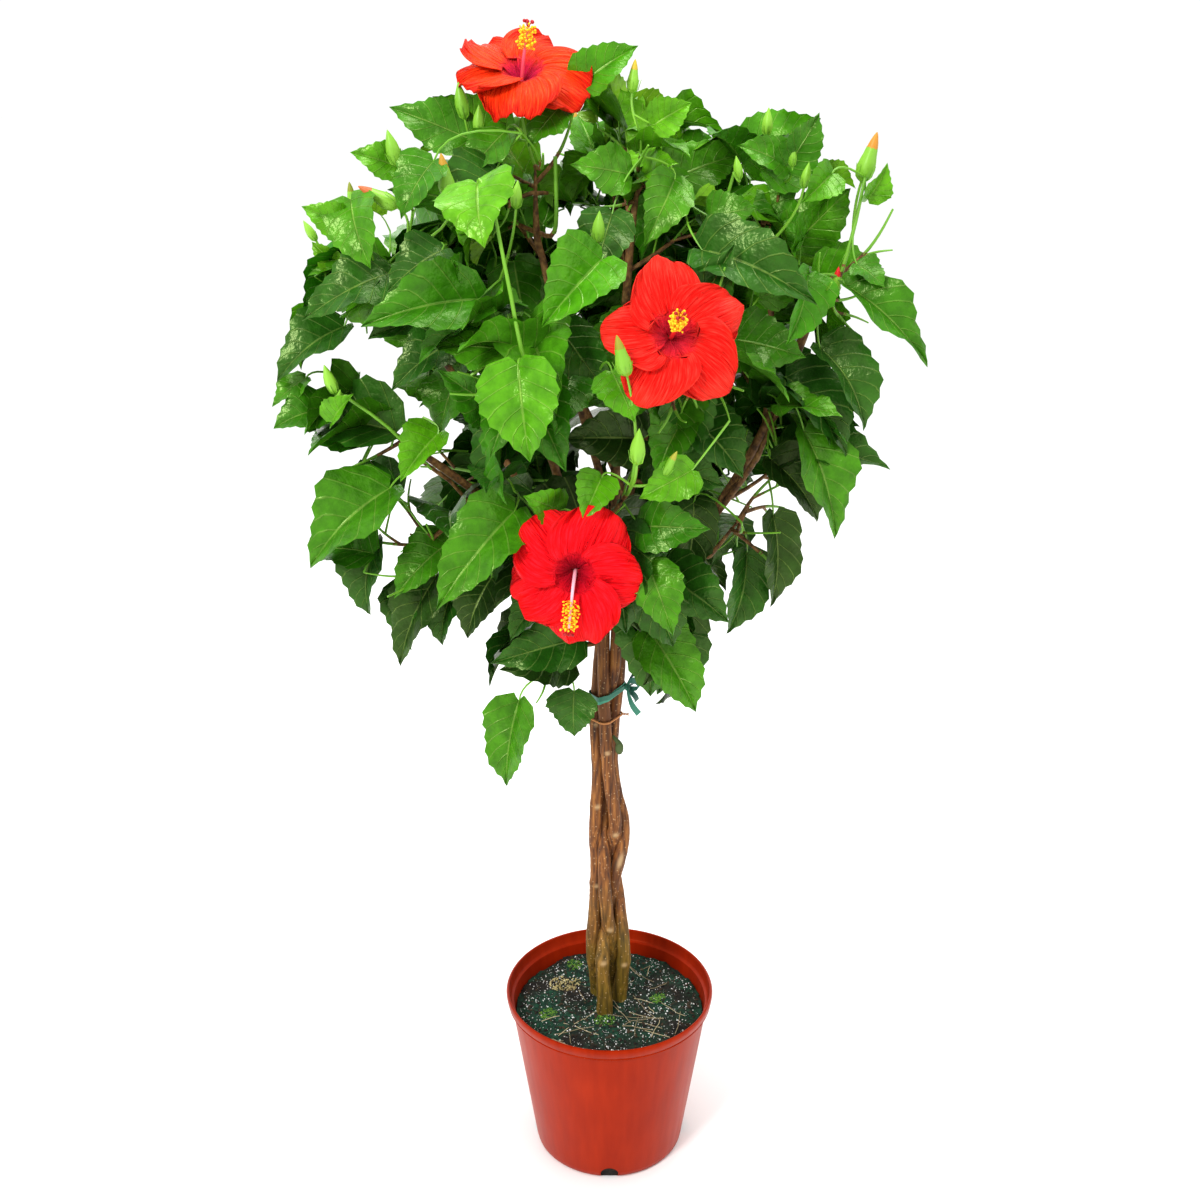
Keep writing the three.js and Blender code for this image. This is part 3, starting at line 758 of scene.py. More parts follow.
def petal_stuff(bloom):
    """Petal tissue is thin and velvety, with fine veins that fan out from a dark throat, and patches
    mixed toward a lighter colour as painted sheen.
    """
    made = material("petal_of_" + bloom["name"], Roughness=0.55, Specular_Tint="#F08070")
    spot = add(made, "UVMap", uv_map="shape_map")
    drawn = add(made, "Mapping", {"Vector": spot, "Scale": (26, 1.6, 1)})
    veins = add(made, "TexNoise", {"Vector": drawn, "Scale": 1.0, "Detail": 4})
    out = add(made, "SeparateXYZ", {"Vector": spot}, out="Y")
    out = add(made, "Math", {0: veins, 1: 0.22, 2: out}, operation="MULTIPLY_ADD")
    ends = [(0.26, "throat"), (0.46, "petal"), (0.82, "petal"), (1.0, "edge")]
    stops = [(place, bloom[part]) for place, part in ends]
    base = add(made, "ValToRGB", {"Fac": out}, stops=stops)
    # Painted highlight: noise patches lighten the petal toward the bloom's light colour, a painted
    # sheen.
    painted_sheen_patches = add(made, "TexNoise", {"Vector": drawn, "Scale": 2.6, "Detail": 3})
    painted_sheen = add(made, "MapRange", {"Value": painted_sheen_patches, "From Min": 0.46, "From Max": 0.72, "To Max": 0.34})
    colour = add(made, "Mix", {0: painted_sheen, 6: base, 7: bloom["light"]}, out=2, data_type="RGBA")
    bump = add(made, "Bump", {"Height": veins, "Strength": 1.0, "Distance": 0.007})
    feed(made, Base_Color=colour, Normal=bump)
    return made


bpy.ops.mesh.primitive_ico_sphere_add(subdivisions=2, radius=1)
bead_shape = taken()
pollen = material("pollen_covered_anthers", Base_Color="#F7C71C", Roughness=0.8)
stigma_stuff = material("stigma", Base_Color="#A80A12", Roughness=0.6)
# The throat's rings, as radius and height in petal lengths.
THROAT = [(0.015, -0.26), (0.10, -0.18), (0.20, -0.08), (0.30, -0.030)]
THROAT_SIDES = 24
COLUMN_STEPS = 12
ANTHERS = 76
stalk_ends = []  # where flowers and buds want a stalk: (place, way in)
green = Heap()

for bloom in BLOOMS:
    rng = random.Random(bloom["seed"])
    frame_of = facing_frame(bloom["middle"], bloom["facing"])
    sheets = Heap()
    for i in range(5):
        verts, faces, uvs = petal(bloom, bloom["first_petal"] + 72 * i + rng.uniform(-5, 5), rng)
        sheets.add(placed(verts, frame_of), faces, rng.uniform(-1, 1), uvs)
    ring = [2 * math.pi * k / THROAT_SIDES for k in range(THROAT_SIDES)]
    cup = [Vector((r * math.cos(a), r * math.sin(a), h)) for r, h in THROAT for a in ring]
    cup = placed([v * bloom["reach"] for v in cup], frame_of)
    faces = sheet_faces(len(THROAT), THROAT_SIDES, closed=True)
    sheets.add(cup, faces, 0, [(0.5, r * 0.7) for r, h in THROAT for _ in ring])
    corolla = sheets.piece(bloom["name"], petal_stuff(bloom), "petals")
    bpy.context.view_layer.objects.active = corolla
    skin = corolla.modifiers.new("thickness", "SOLIDIFY")
    skin.thickness = PETAL_THICKNESS
    bpy.ops.object.modifier_apply(modifier=skin.name)

    facing = bloom["facing"].normalized()
    root = bloom["middle"] - facing * 0.23 * bloom["reach"]
    way = bloom["column"].normalized()
    end = bloom["middle"] + way * bloom["column_length"]
    line = []
    for i in range(COLUMN_STEPS + 1):
        share = i / COLUMN_STEPS
        spot = root.lerp(bloom["middle"] + facing * 0.006, min(1, share * 2.2)).lerp(end, share**1.6)
        line.append(Vector((*spot, 0.0021 - 0.0009 * share)))
    column = Heap()
    column.add(*tube(line, 10))
    stuff, colour = bloom["column_stuff"]
    tissue = material(stuff, Base_Color=colour, Roughness=0.5)
    column.piece(bloom["name"] + "_column", tissue, "anthers")

    anthers, stigmas = Heap(), Heap()
    for i in range(ANTHERS):
        share = 0.62 + 0.38 * (i / (ANTHERS - 1))
        base = catmull(line, share).to_3d()
        along = (catmull(line, min(1, share + 0.03)) - catmull(line, share - 0.03)).to_3d().normalized()
        side = Matrix.Rotation(i * 2.4, 3, along) @ along.orthogonal().normalized()
        head = base + (side + along * rng.uniform(0.1, 0.7)).normalized() * rng.uniform(0.0045, 0.0088)
        anthers.add(*tube([Vector((*base, 0.0003)), Vector((*head, 0.00025))], 4))
        size = rng.uniform(0.0013, 0.0020)
        grain = Matrix.Diagonal((size, size * 0.75, size * 0.75, 1))
        grain = Matrix.Translation(head) @ turned(rng) @ grain
        anthers.add(placed(grain_shape[0], grain), grain_shape[1])
    for i in range(5):
        side = Matrix.Rotation(i * 2 * math.pi / 5, 3, way) @ way.orthogonal().normalized()
        head = end + way * 0.0060 + side * 0.0042
        style = [end, end.lerp(head, 0.5) + way * 0.001, head]
        stigmas.add(*tube([Vector((*p, 0.0004)) for p in style], 5))
        dot = Matrix.Translation(head) @ Matrix.Scale(0.0017, 4)
        stigmas.add(placed(bead_shape[0], dot), bead_shape[1])
    anthers.piece(bloom["name"] + "_anthers", pollen, "anthers")
    stigmas.piece(bloom["name"] + "_stigmas", stigma_stuff, "anthers")

    foot = root - facing * 0.014
    profile = [(0, 0.0020), (0.15, 0.0050), (0.5, 0.0062), (0.85, 0.0072), (1, 0.0076)]
    green.add(*tube([Vector((*foot.lerp(root + facing * 0.001, s), r)) for s, r in profile], 12), 0.2)
    for i in range(7):
        side = Matrix.Rotation(i * 0.9, 3, facing) @ facing.orthogonal().normalized()
        bract = [(0.003, 0), (0.010, 0.006), (0.012, 0.016)]  # out and ahead
        bract = [foot + side * out + facing * ahead for out, ahead in bract]
        green.add(*tube([Vector((*p, 0.0009 * (1 - 0.35 * k))) for k, p in enumerate(bract)], 5), 0.4)
    stalk_ends.append((foot, -facing))


# ------------------------------------------------------------------ Buds
# Closed buds stand on stalks at the shoot tips: a green calyx of five ribs over a ring of thin
# bracts. The ripest show a furled point of petals, yellow or red.
BUDS = [  # the tip's place and the length in mm, the lean from upright, the furled petals' colour
    (-146, -45, 1268, 34, (-0.15, -0.05, 1.0), None),
    (-126, -55, 1248, 28, (0.05, -0.1, 1.0), None), (-212, -70, 1226, 34, (-0.25, -0.1, 1.0), None),
    (-157, -120, 1208, 42, (-0.15, -0.2, 1.0), "#B98F2A"),
    (-236, -110, 1178, 40, (-1.0, -0.1, 0.55), "#B8602A"),
    (-252, -62, 1178, 28, (-0.1, -0.1, 1.0), "#8A9426"),
    (-302, -45, 1140, 22, (-0.5, -0.1, 0.9), None), (-86, -140, 1186, 26, (0.1, -0.2, 1.0), None),
    (-12, -130, 1158, 30, (0.05, -0.2, 1.0), None),
    (22, -35, 1288, 30, (0.1, -0.05, 1.0), "#C9B030"),
    (152, -22, 1244, 26, (0.05, -0.05, 1.0), None), (174, -35, 1212, 22, (-0.1, -0.1, 1.0), None),
    (118, -62, 1202, 22, (-0.2, -0.1, 1.0), None), (188, -62, 1196, 24, (0.15, -0.1, 1.0), None),
    (256, -35, 1222, 48, (0.25, -0.1, 1.0), "#C98A2C"),
    (3, -230, 1062, 40, (-0.25, -0.25, 1.0), "#98962A"),
    (24, -222, 976, 36, (0.05, -0.2, 1.0), None), (60, -196, 948, 28, (0.45, -0.2, 0.9), "#A8A636"),
    (-278, -115, 1012, 30, (-0.3, -0.1, 1.0), None), (-264, -115, 988, 24, (0.2, -0.2, 1.0), None),
    (222, -62, 1098, 30, (0.1, -0.2, 1.0), "#E01C1C"),
    (-40, 190, 1235, 32, (-0.1, 0.3, 1.0), "#B98F2A"), (120, 205, 1160, 30, (0.2, 0.4, 1.0), None),
    (-170, 215, 1120, 30, (-0.2, 0.4, 1.0), None),
]
FRONT_BUDS = 21  # the first of them, which grown leaves leave in view
CALYX_STEPS = (0, 0.06, 0.2, 0.42, 0.62, 0.8, 0.93, 1)
CLOSED_CALYX = (0.05, 0.13, 0.20, 0.23, 0.19, 0.11, 0.05, 0.01)
OPEN_CALYX = (0.05, 0.13, 0.20, 0.22, 0.19, 0.155, 0.14, 0.125)
OPEN_SHARE = 0.70  # how much of an open bud its calyx covers
FURLED_PROFILE = [(0.3, 0.10), (0.5, 0.12), (0.70, 0.110), (0.8, 0.088), (0.93, 0.045), (1, 0.010)]
bud_spots = []  # the tip and the middle of each bud
furled = {}
for x, y, z, length, lean, shows in BUDS:
    rng = random.Random(x)  # each bud's place is its seed
    tip, length = Vector((x / 1000, y / 1000, z / 1000)), length / 1000
    way = Vector(lean).normalized()
    foot = tip - way * length
    side = way.orthogonal().normalized()
    bud_spots.append((tip, tip - way * length * 0.5))

    def ribs(spot, foot=foot, way=way, side=side):
        """The calyx's five ribs, as a share of its radius."""
        out = spot - foot - way * (spot - foot).dot(way)
        return 0.08 * math.cos(5 * math.atan2(out.dot(way.cross(side)), out.dot(side)))

    covered = OPEN_SHARE if shows else 1.0
    rows = zip(CALYX_STEPS, OPEN_CALYX if shows else CLOSED_CALYX)
    rows = [(share * covered, max(0.0003, reach * length * 0.86)) for share, reach in rows]
    line = [Vector((*foot.lerp(tip, share), radius)) for share, radius in rows]
    green.add(*tube(line, 15, ribs), rng.uniform(0.3, 1))
    if shows:
        line = [Vector((*foot.lerp(tip, share), reach * length)) for share, reach in FURLED_PROFILE]
        furled.setdefault(shows, Heap()).add(*tube(line, 12, ribs))
    for i in range(8):
        out = Matrix.Rotation(i * math.pi / 4, 3, way) @ side
        reach = length * rng.uniform(0.30, 0.42)
        bract = [foot + out * 0.0012, foot + out * reach * 0.45 + way * reach * 0.25]
        bract.append(foot + (out * 0.62 + way) * reach)
        line = [Vector((*p, 0.00075 * (1 - 0.3 * k))) for k, p in enumerate(bract)]
        green.add(*tube(line, 4), rng.uniform(0, 1))
    stalk_ends.append((foot, -way))

# One leaf bud is breaking low on the trunk.
breaking = Heap()
bulge = Matrix.Translation((0.0105, -0.0150, 0.550)) @ Matrix.Diagonal((0.0050, 0.0048, 0.0085, 1))
breaking.add(placed(bead_shape[0], bulge), bead_shape[1])
neck = [Vector((0.003, -0.010, 0.563, 0.0016)), Vector((0.0100, -0.0150, 0.556, 0.0034))]
breaking.add(*tube(neck, 7))
scales = material("downy_bud_scales", Base_Color="#4A5C30", Roughness=0.7)
breaking.piece("trunk_bud", scales, "green_shoots")
for colour, heap in furled.items():
    name = "furled_petals_" + colour[1:].lower()
    heap.piece(name, material(name, Base_Color=colour, Roughness=0.5), "petals")


# ------------------------------------------------------------------ Crown
# Each mass of leaves is a spray grown on from its own bough by one rule. Shoots fan out from the
# bough's end with a slight bow and sag, fork once, and carry leaves at 137.5 degrees round them.
CROWN_REACH = 0.33
GOLDEN = math.radians(137.5)
CAMERA = Vector(CAMERA_PLACE)
# The leaf kinds are lit and shaded copies of one leaf colour, dealt out as painted light and shade: the
# higher and further out a leaf is, the lighter its kind; low and deep inside, the darker. Leaves near a
# shoot's tip are younger and also really lighter.
KINDS = ["shade", "mature_half_shade", "mid", "bright", "young"]
KIND_LIMITS = (0.34, 0.52, 0.72, 0.80)  # the light from which each kind after the first grows
LEAF_LENGTH = {"shade": 0.096, "mature_half_shade": 0.100, "mid": 0.094, "bright": 0.080, "young": 0.054}

# Leaves that were placed one by one: kind, foot of the blade, tip, and width, in mm.
PLACED_LEAVES = [
    ("bright", -85, -210, 1032, -75, -228, 946, 74), ("mid", -100, -60, 630, -115, -70, 530, 58),
    ("mature_half_shade", -40, -45, 635, -40, -50, 582, 56), ("mid", 230, -60, 1080, 315, -70, 1000, 50),
    ("mid", 195, -70, 935, 230, -85, 825, 66), ("mature_half_shade", -270, -40, 1035, -335, -70, 985, 56),
    ("mid", -225, -90, 880, -305, -120, 805, 76), ("mature_half_shade", -245, -60, 815, -255, -70, 735, 52),
    ("bright", -30, -30, 1265, 25, -30, 1300, 44), ("mid", -135, -40, 1215, -215, -30, 1245, 52),
    ("mature_half_shade", -215, -90, 1095, -295, -120, 1055, 60),
    ("mid", -125, -150, 1080, -230, -180, 1060, 62),
    ("mature_half_shade", 85, -110, 1120, 190, -150, 1075, 66), ("mid", 120, -80, 1030, 190, -95, 1015, 66),
    ("mid", -95, -150, 875, -170, -200, 790, 70), ("mid", 40, -90, 725, 90, -110, 640, 62),
    ("bright", 0, -190, 1020, 20, -215, 980, 48), ("mid", 35, -165, 825, 60, -190, 760, 52),
    ("mid", 30, -150, 860, 95, -175, 865, 52), ("mature_half_shade", 55, -100, 790, 120, -130, 750, 60),
    ("bright", -170, -120, 945, -205, -150, 905, 46), ("mid", -290, -60, 955, -340, -80, 940, 50),
    ("bright", -250, -100, 1140, -290, -110, 1160, 34),
    ("bright", -205, -50, 1190, -250, -60, 1205, 36),
    ("mid", -245, -100, 1165, -225, -130, 1105, 60), ("mid", 170, -30, 1190, 200, -30, 1240, 44),
    ("mid", 170, -30, 1190, 120, -40, 1210, 42), ("shade", 170, -50, 840, 170, -60, 740, 50),
    ("mature_half_shade", 145, -40, 795, 125, -50, 705, 52), ("mature_half_shade", -35, -100, 720, -125, -130, 705, 58),
    ("shade", -125, -80, 780, -150, -100, 720, 50), ("shade", -185, -60, 775, -225, -80, 680, 56),
    ("bright", -50, -160, 880, -85, -180, 900, 40),
    ("bright", -120, -170, 1185, -112, -215, 1135, 72),
    ("bright", -10, -140, 1115, -65, -185, 1060, 68), ("mature_half_shade", 210, -50, 1015, 255, -70, 935, 56),
    ("shade", 165, -50, 900, 215, -60, 835, 52), ("bright", 250, -40, 1160, 265, -50, 1195, 30),
    ("mid", -110, -120, 970, -165, -150, 1015, 52), ("shade", 30, -100, 935, -50, -120, 940, 60),
    ("mature_half_shade", 80, -90, 950, 130, -120, 900, 60), ("bright", -10, -170, 915, -28, -195, 880, 42),
    ("mid", 95, -60, 1145, 140, -70, 1155, 44), ("mid", 15, -60, 1185, -40, -80, 1195, 50),
    ("mid", 25, -100, 1045, -35, -130, 1000, 56), ("mature_half_shade", -50, -130, 1050, 0, -150, 985, 52),
    ("bright", -275, -110, 955, -250, -120, 985, 28),
    ("mature_half_shade", -160, -110, 1120, -210, -140, 1085, 52),
    ("mid", -170, -70, 815, -225, -100, 765, 56), ("bright", 40, -60, 1230, 75, -60, 1250, 38),
    ("mid", -50, -50, 1245, -80, -70, 1210, 46), ("bright", 210, -60, 1185, 180, -80, 1160, 36),
    ("mid", 240, -60, 1100, 265, -80, 1080, 36), ("bright", 75, -180, 925, 25, -190, 900, 42),
    ("mid", -165, -110, 1200, -195, -130, 1150, 50),
    ("mature_half_shade", -110, -80, 1190, -150, -110, 1145, 56),
    ("mid", -100, -60, 1225, -140, -80, 1180, 46), ("mature_half_shade", -180, -50, 1040, -240, -80, 1030, 50),
    ("mature_half_shade", -150, -80, 1030, -215, -110, 985, 54), ("mid", -310, -50, 985, -342, -70, 960, 34),
    ("mature_half_shade", 40, -80, 905, 115, -100, 885, 60), ("shade", 85, -70, 860, 75, -90, 780, 50),
    ("mature_half_shade", 0, -80, 1150, -20, -110, 1085, 54), ("mid", 60, -60, 1180, 30, -90, 1120, 48),
    ("mature_half_shade", -210, -40, 760, -215, -60, 690, 46), ("mature_half_shade", -165, -50, 760, -180, -70, 700, 46),
]
FEATURE_LEAVES = [
    (kind, Vector([p / 1000 for p in row[:3]]), Vector([p / 1000 for p in row[3:6]]), row[6] / 1000)
    for kind, *row in PLACED_LEAVES
]

# The green shoots that stand out at the front and the sides, foot first, in mm.
FEATURE_SHOOTS = [
    [(-60, -120, 960), (-80, -190, 1030), (-92, -200, 1097), (-104, -200, 1165)],
    [(-150, -60, 860), (-190, -80, 905), (-225, -100, 950), (-268, -110, 985)],
    [(10, -130, 880), (18, -180, 910), (22, -200, 950)],
    [(-56, -40, 1130), (-55, -40, 1200), (-56, -45, 1255)],
    [(90, -30, 1060), (105, -35, 1130), (118, -45, 1185)],
    [(222, -50, 1075), (236, -50, 1130), (246, -40, 1180)],
]

shoots = []  # every shoot as a line of (x, y, z, radius), foot first
leaves = []  # kind, foot of the blade, tip, normal, width, tint, place on the shoot or None


def outward(spot):
    """The level way out from the trunk's line at a place."""
    way = Vector((spot.x, spot.y, 0))
    return way.normalized() if way.length > 0.02 else Vector((0, -1, 0))


def kind_at(spot, young, rng):
    """The kind of leaf that the light at a place gives, a colour of painted light and shade; young is 1
    at a shoot's tip.
    """
    high = (spot.z - 0.64) / 0.66
    reach = (spot - CROWN_MIDDLE).length / CROWN_REACH
    # Painted light and shade: height and reach from the crown's middle set how light a leaf's colour
    # is; the young term is the real lightness of young leaves.
    light = 0.62 * high + 0.30 * reach + 0.12 * young + rng.uniform(-0.1, 0.1)
    grade = sum(light > limit for limit in KIND_LIMITS)
    return KINDS[grade] if grade < 4 or young > 0.8 else "bright"


def crowded(spot, own):
    """Whether a place outside its own mass is close to another mass, so a leaf may fill the gap."""
    for middle, surface, spurs in masses.values():
        if surface is not own and surface.find_nearest(spot, 0.05)[0] is not None:
            return True
    return False


def leaf_on(shoot, share, turn, surface, middle, tint, rng):
    """Adds a leaf on a shoot: its stalk leaves the shoot at an angle, and its blade droops."""
    node = catmull(shoot, share)
    spot = node.to_3d()
    along = (catmull(shoot, min(1, share + 0.04)) - catmull(shoot, share - 0.06)).to_3d().normalized()
    side = Matrix.Rotation(turn, 3, along) @ along.orthogonal().normalized()
    kind = kind_at(spot, share, rng)
    size = LEAF_LENGTH[kind] * rng.uniform(0.78, 1.15) * (1 - 0.25 * max(0, share - 0.8) / 0.2)
    out = outward(spot)
    lift = 0.9 * (spot.z - 0.98) / 0.33
    stalk = (side + along * 0.55 + out * 0.35 + UP * (0.15 + 0.3 * lift)).normalized()
    foot = spot + stalk * size * rng.uniform(0.28, 0.55)
    drop = -0.50 + 0.75 * lift + rng.uniform(-0.5, 0.5)
    blade = (side * 0.85 + out * rng.uniform(0.3, 1.0) + along * 0.25 + UP * drop).normalized()
    tip = foot + blade * size
    hit = surface.ray_cast(middle, (tip - middle).normalized())
    if hit[0] is not None:
        spare = 0.040 if crowded(tip, surface) else rng.uniform(-0.006, 0.012)
        over = (tip - middle).length - (hit[0] - middle).length - spare
        if over > 0:
            shift = (tip - middle).normalized() * over
            foot, tip = foot - shift, tip - shift
    normal = UP * 0.75 + out * 0.7 + Vector([rng.uniform(-0.6, 0.6) for _ in range(3)])
    width = size * rng.uniform(0.66, 0.80)
    leaves.append([kind, foot, tip, normal, width, tint + rng.uniform(-0.35, 0.35), spot])


def grow(start, heading, length, radius, forks, surface, middle, rng):
    """Grows a shoot from a place on its parent, deals its leaves, and lets it fork."""
    hit = surface.ray_cast(start.to_3d(), heading)
    room = (hit[0] - start.to_3d()).length * 0.86 if hit[0] is not None else 0.03
    length = min(length, room)
    if length < 0.025:
        return
    bow = heading.orthogonal().normalized()
    bow = Matrix.Rotation(rng.uniform(0, 6.28), 3, heading) @ bow
    line = []
    for i in range(5):
        share = i / 4
        sag = length * (bow * 0.08 * math.sin(math.pi * share) + UP * 0.10 * (share**2 - share))
        spot = start.to_3d() + heading * length * share + sag
        line.append(Vector((*spot, radius * (1 - 0.55 * share))))
    shoots.append(line)
    turn = rng.uniform(0, 6.28)
    tint = rng.uniform(-0.6, 0.6)
    gap = rng.uniform(0.024, 0.032)
    from_share = 0.22 if forks else 0.3
    count = max(3, round(length * (1 - from_share) / gap))
    for i in range(count + 1):
        share = from_share + (1 - from_share) * i / count
        turn += GOLDEN
        leaf_on(line, share, turn, surface, middle, tint, rng)
    for fork in range(forks):
        share = (0.42, 0.66)[fork]
        side = Matrix.Rotation(turn + fork * 2.6, 3, heading) @ heading.orthogonal().normalized()
        way = (heading + side * 0.85 + UP * 0.1).normalized()
        grow(catmull(line, share), way, length * 0.7, radius * 0.7, 0, surface, middle, rng)


SHOOTS_FOR_REACH = 1150  # shoots for each square metre of a mass's reach, squared
REACH_WAYS = ((1, 0, 0), (-1, 0, 0), (0, -1, 0), (0, 0, 1), (0, 0, -1))
for name, (middle, surface, spurs) in masses.items():
    rng = random.Random(name)
    head, hub, bough = hubs[name]
    out = (middle - CROWN_MIDDLE).normalized()
    reaches = [surface.ray_cast(middle, Vector(way)) for way in REACH_WAYS]
    reach = sum((hit[0] - middle).length for hit in reaches if hit[0]) / len(reaches)
    count = max(4, round(SHOOTS_FOR_REACH * reach * reach))
    for i in range(count):
        z = 1 - 2 * (i + 0.5) / count
        level = math.sqrt(1 - z * z)
        heading = Vector((level * math.cos(GOLDEN * i), level * math.sin(GOLDEN * i), z))
        heading = (heading + Vector([rng.uniform(-0.2, 0.2) for _ in range(3)])).normalized()
        if heading.dot(out) < -0.45:
            continue
        start = head.lerp(hub, rng.uniform(0.5, 1))
        start[3] = 0.0026
        grow(start, heading, rng.uniform(0.07, 0.12), 0.0024, 1, surface, middle, rng)

# Shoots from the boughs themselves fill the sides and the back, between the sprays.
FILLING = [  # a place to start near, in mm, and the heading
    (0, 60, 900, (0.1, 1, 0.1)), (-20, 70, 970, (-0.3, 1, 0.2)), (30, 70, 1020, (0.35, 1, 0.3)),
    (0, 80, 1080, (0, 1, 0.5)), (100, 20, 860, (1, 0.25, 0)), (100, 30, 950, (1, 0.3, 0.1)),
    (120, 20, 1050, (1, 0.35, 0.3)), (100, 20, 1120, (0.8, 0.3, 0.6)),
    (-100, 20, 860, (-1, 0.3, -0.1)), (-120, 30, 950, (-1, 0.3, 0.1)),
    (-120, 30, 1040, (-1, 0.3, 0.3)), (-80, 20, 1130, (-0.8, 0.3, 0.6)),
    (60, 60, 800, (0.6, 1, -0.2)), (-60, 60, 800, (-0.6, 1, -0.2)), (0, 40, 1120, (0.1, 0.2, 1)),
    (80, 50, 1100, (0.5, 0.3, 1)), (-100, 50, 1100, (-0.5, 0.3, 1)), (30, 50, 840, (0.6, 0.6, 0)),
    (30, 40, 920, (0.8, 0.3, 0.3)), (20, 30, 780, (0.6, 0.3, -0.3)), (-30, 40, 840, (-0.6, 0.5, 0)),
    (40, 20, 1000, (0.7, 0.1, 0.3)),
]
ENVELOPE = (0.290, 0.215, 0.290)  # half sizes of the crown's rounded outline, about its middle
fill_rng = random.Random(41)
envelope_middle = Vector((-0.01, 0.01, 0.96))
outline = Matrix.Translation(envelope_middle) @ Matrix.Diagonal((*ENVELOPE, 1))
envelope = BVHTree.FromPolygons(placed(bead_shape[0], outline), bead_shape[1])


def nearest(spots, place):
    """The one of some (x, y, z, radius) that is nearest to a place."""
    return min(spots, key=lambda s: (s.to_3d() - place).length)


for x, y, z, heading in FILLING:
    place = Vector((x / 1000, y / 1000, z / 1000))
    start = nearest([spot for line in boughs.values() for spot in line], place).copy()
    start[3] = 0.0028
    aim = (place + Vector(heading).normalized() * 0.06 - start.to_3d()).normalized()
    grow(start, aim, 0.17, 0.0026, 2, envelope, envelope_middle, fill_rng)

for line in FEATURE_SHOOTS:
    line = [Vector([part / 1000 for part in place]) for place in line]
    near = nearest([spot for each in shoots for spot in each], line[0])
    whole = [near.to_3d(), *line]
    shoots.append([Vector((*p, 0.0026 - 0.0010 * i / (len(whole) - 1))) for i, p in enumerate(whole)])


def sight(spot, target):
    """How far a place is in front of a target, and off the line of sight to it from the front."""
    line = CAMERA - target
    ahead = (spot - target).dot(line) / line.length
    return ahead, (spot - target - line.normalized() * ahead).length


# Where sky shows through the crown from the front: across, height, and radius of the gap, in mm.
GAPS = [
    (-75, 1220, 12), (-43, 1120, 14), (-212, 1115, 12), (130, 1176, 18), (180, 1162, 10),
    (-246, 1000, 20), (-210, 1015, 8), (-150, 918, 13), (-212, 911, 22), (-225, 883, 15),
    (-194, 849, 20), (-173, 892, 12), (-269, 892, 15), (122, 960, 14), (112, 868, 13),
    (180, 860, 20), (238, 1035, 20), (220, 1108, 8), (136, 1072, 10), (130, 822, 10),
    (-168, 702, 16), (-77, 645, 18), (-200, 1160, 10), (125, 1243, 20), (84, 1248, 8),
    (262, 1123, 14), (282, 1123, 16), (-35, 1207, 7), (-217, 810, 24), (-178, 855, 16),
    (-238, 758, 12), (-152, 928, 14), (-238, 988, 20), (-65, 639, 20), (-92, 596, 16),
    (-42, 658, 10), (223, 804, 16), (210, 764, 18), (172, 861, 18), (145, 840, 10), (281, 961, 18),
    (228, 988, 14), (272, 912, 12), (296, 1072, 14), (283, 1123, 14), (54, 1268, 18),
    (37, 1280, 10), (88, 1245, 14), (-285, 1159, 10), (-309, 1112, 10), (-70, 1186, 10),
    (-60, 1120, 12), (137, 1066, 10), (-201, 764, 14),
]
SKY = [(Vector((x / 1000, -0.06, height / 1000)), radius / 1000) for x, height, radius in GAPS]

grown = leaves
leaves = []
BUD_ROOM = 0.026  # how far from a bud, a placed leaf and a gap grown leaves are kept, in view
LEAF_ROOM = 0.030
GAP_ROOM = 0.009
LARGE_LEAF = 0.066  # a placed leaf wider than this is kept clear at three places
clear = [(middle, BUD_ROOM) for tip, middle in bud_spots[:FRONT_BUDS]]
clear += [((foot + tip) / 2, LEAF_ROOM) for kind, foot, tip, width in FEATURE_LEAVES]
guarded = [
    foot.lerp(tip, share)
    for kind, foot, tip, width in FEATURE_LEAVES
    for share in ((0.25, 0.5, 0.75) if width > LARGE_LEAF else (0.5,))
]


def in_bloom(spot):
    """Whether a place is among a bloom's petals, or in front of them."""
    for bloom in BLOOMS:
        away = spot - bloom["middle"]
        if away.length < bloom["reach"] * 1.02 and away.dot(bloom["facing"].normalized()) > -0.016:
            return True
    return False


def in_the_way(foot, tip, near):
    """Whether a leaf would cover a bloom, a bud, a placed leaf or a gap, or grow through a bloom."""
    middle = (foot + tip) / 2
    for bloom in BLOOMS:
        for spot in (foot, foot.lerp(tip, 0.3), foot.lerp(tip, 0.7), tip):
            ahead, off = sight(spot, bloom["middle"])
            if ahead > -0.01 and off < bloom["reach"] + 0.020:
                return True
            if (spot - bloom["middle"]).length < bloom["reach"] * 0.9:
                return True
    for gap, radius in SKY:
        for spot in (foot.lerp(tip, 0.25), middle, tip):
            if sight(spot, gap)[1] < radius + GAP_ROOM:
                return True
    for spot in (foot.lerp(tip, 0.3), middle, foot.lerp(tip, 0.75), tip):
        if any((spot - target).length < BUD_ROOM for target in guarded):
            return True
    for target, radius in near:
        ahead, off = sight(middle, target)
        if ahead > -0.014 and off < radius:
            return True
    return False


leaves = [leaf for leaf in grown if not in_the_way(leaf[1], leaf[2], clear) and not in_bloom(leaf[6])]
for i, line in enumerate(shoots):
    while len(line) > 2 and any(in_bloom(catmull(line, step / 12).to_3d()) for step in range(13)):
        line = line[:-1]
    shoots[i] = line

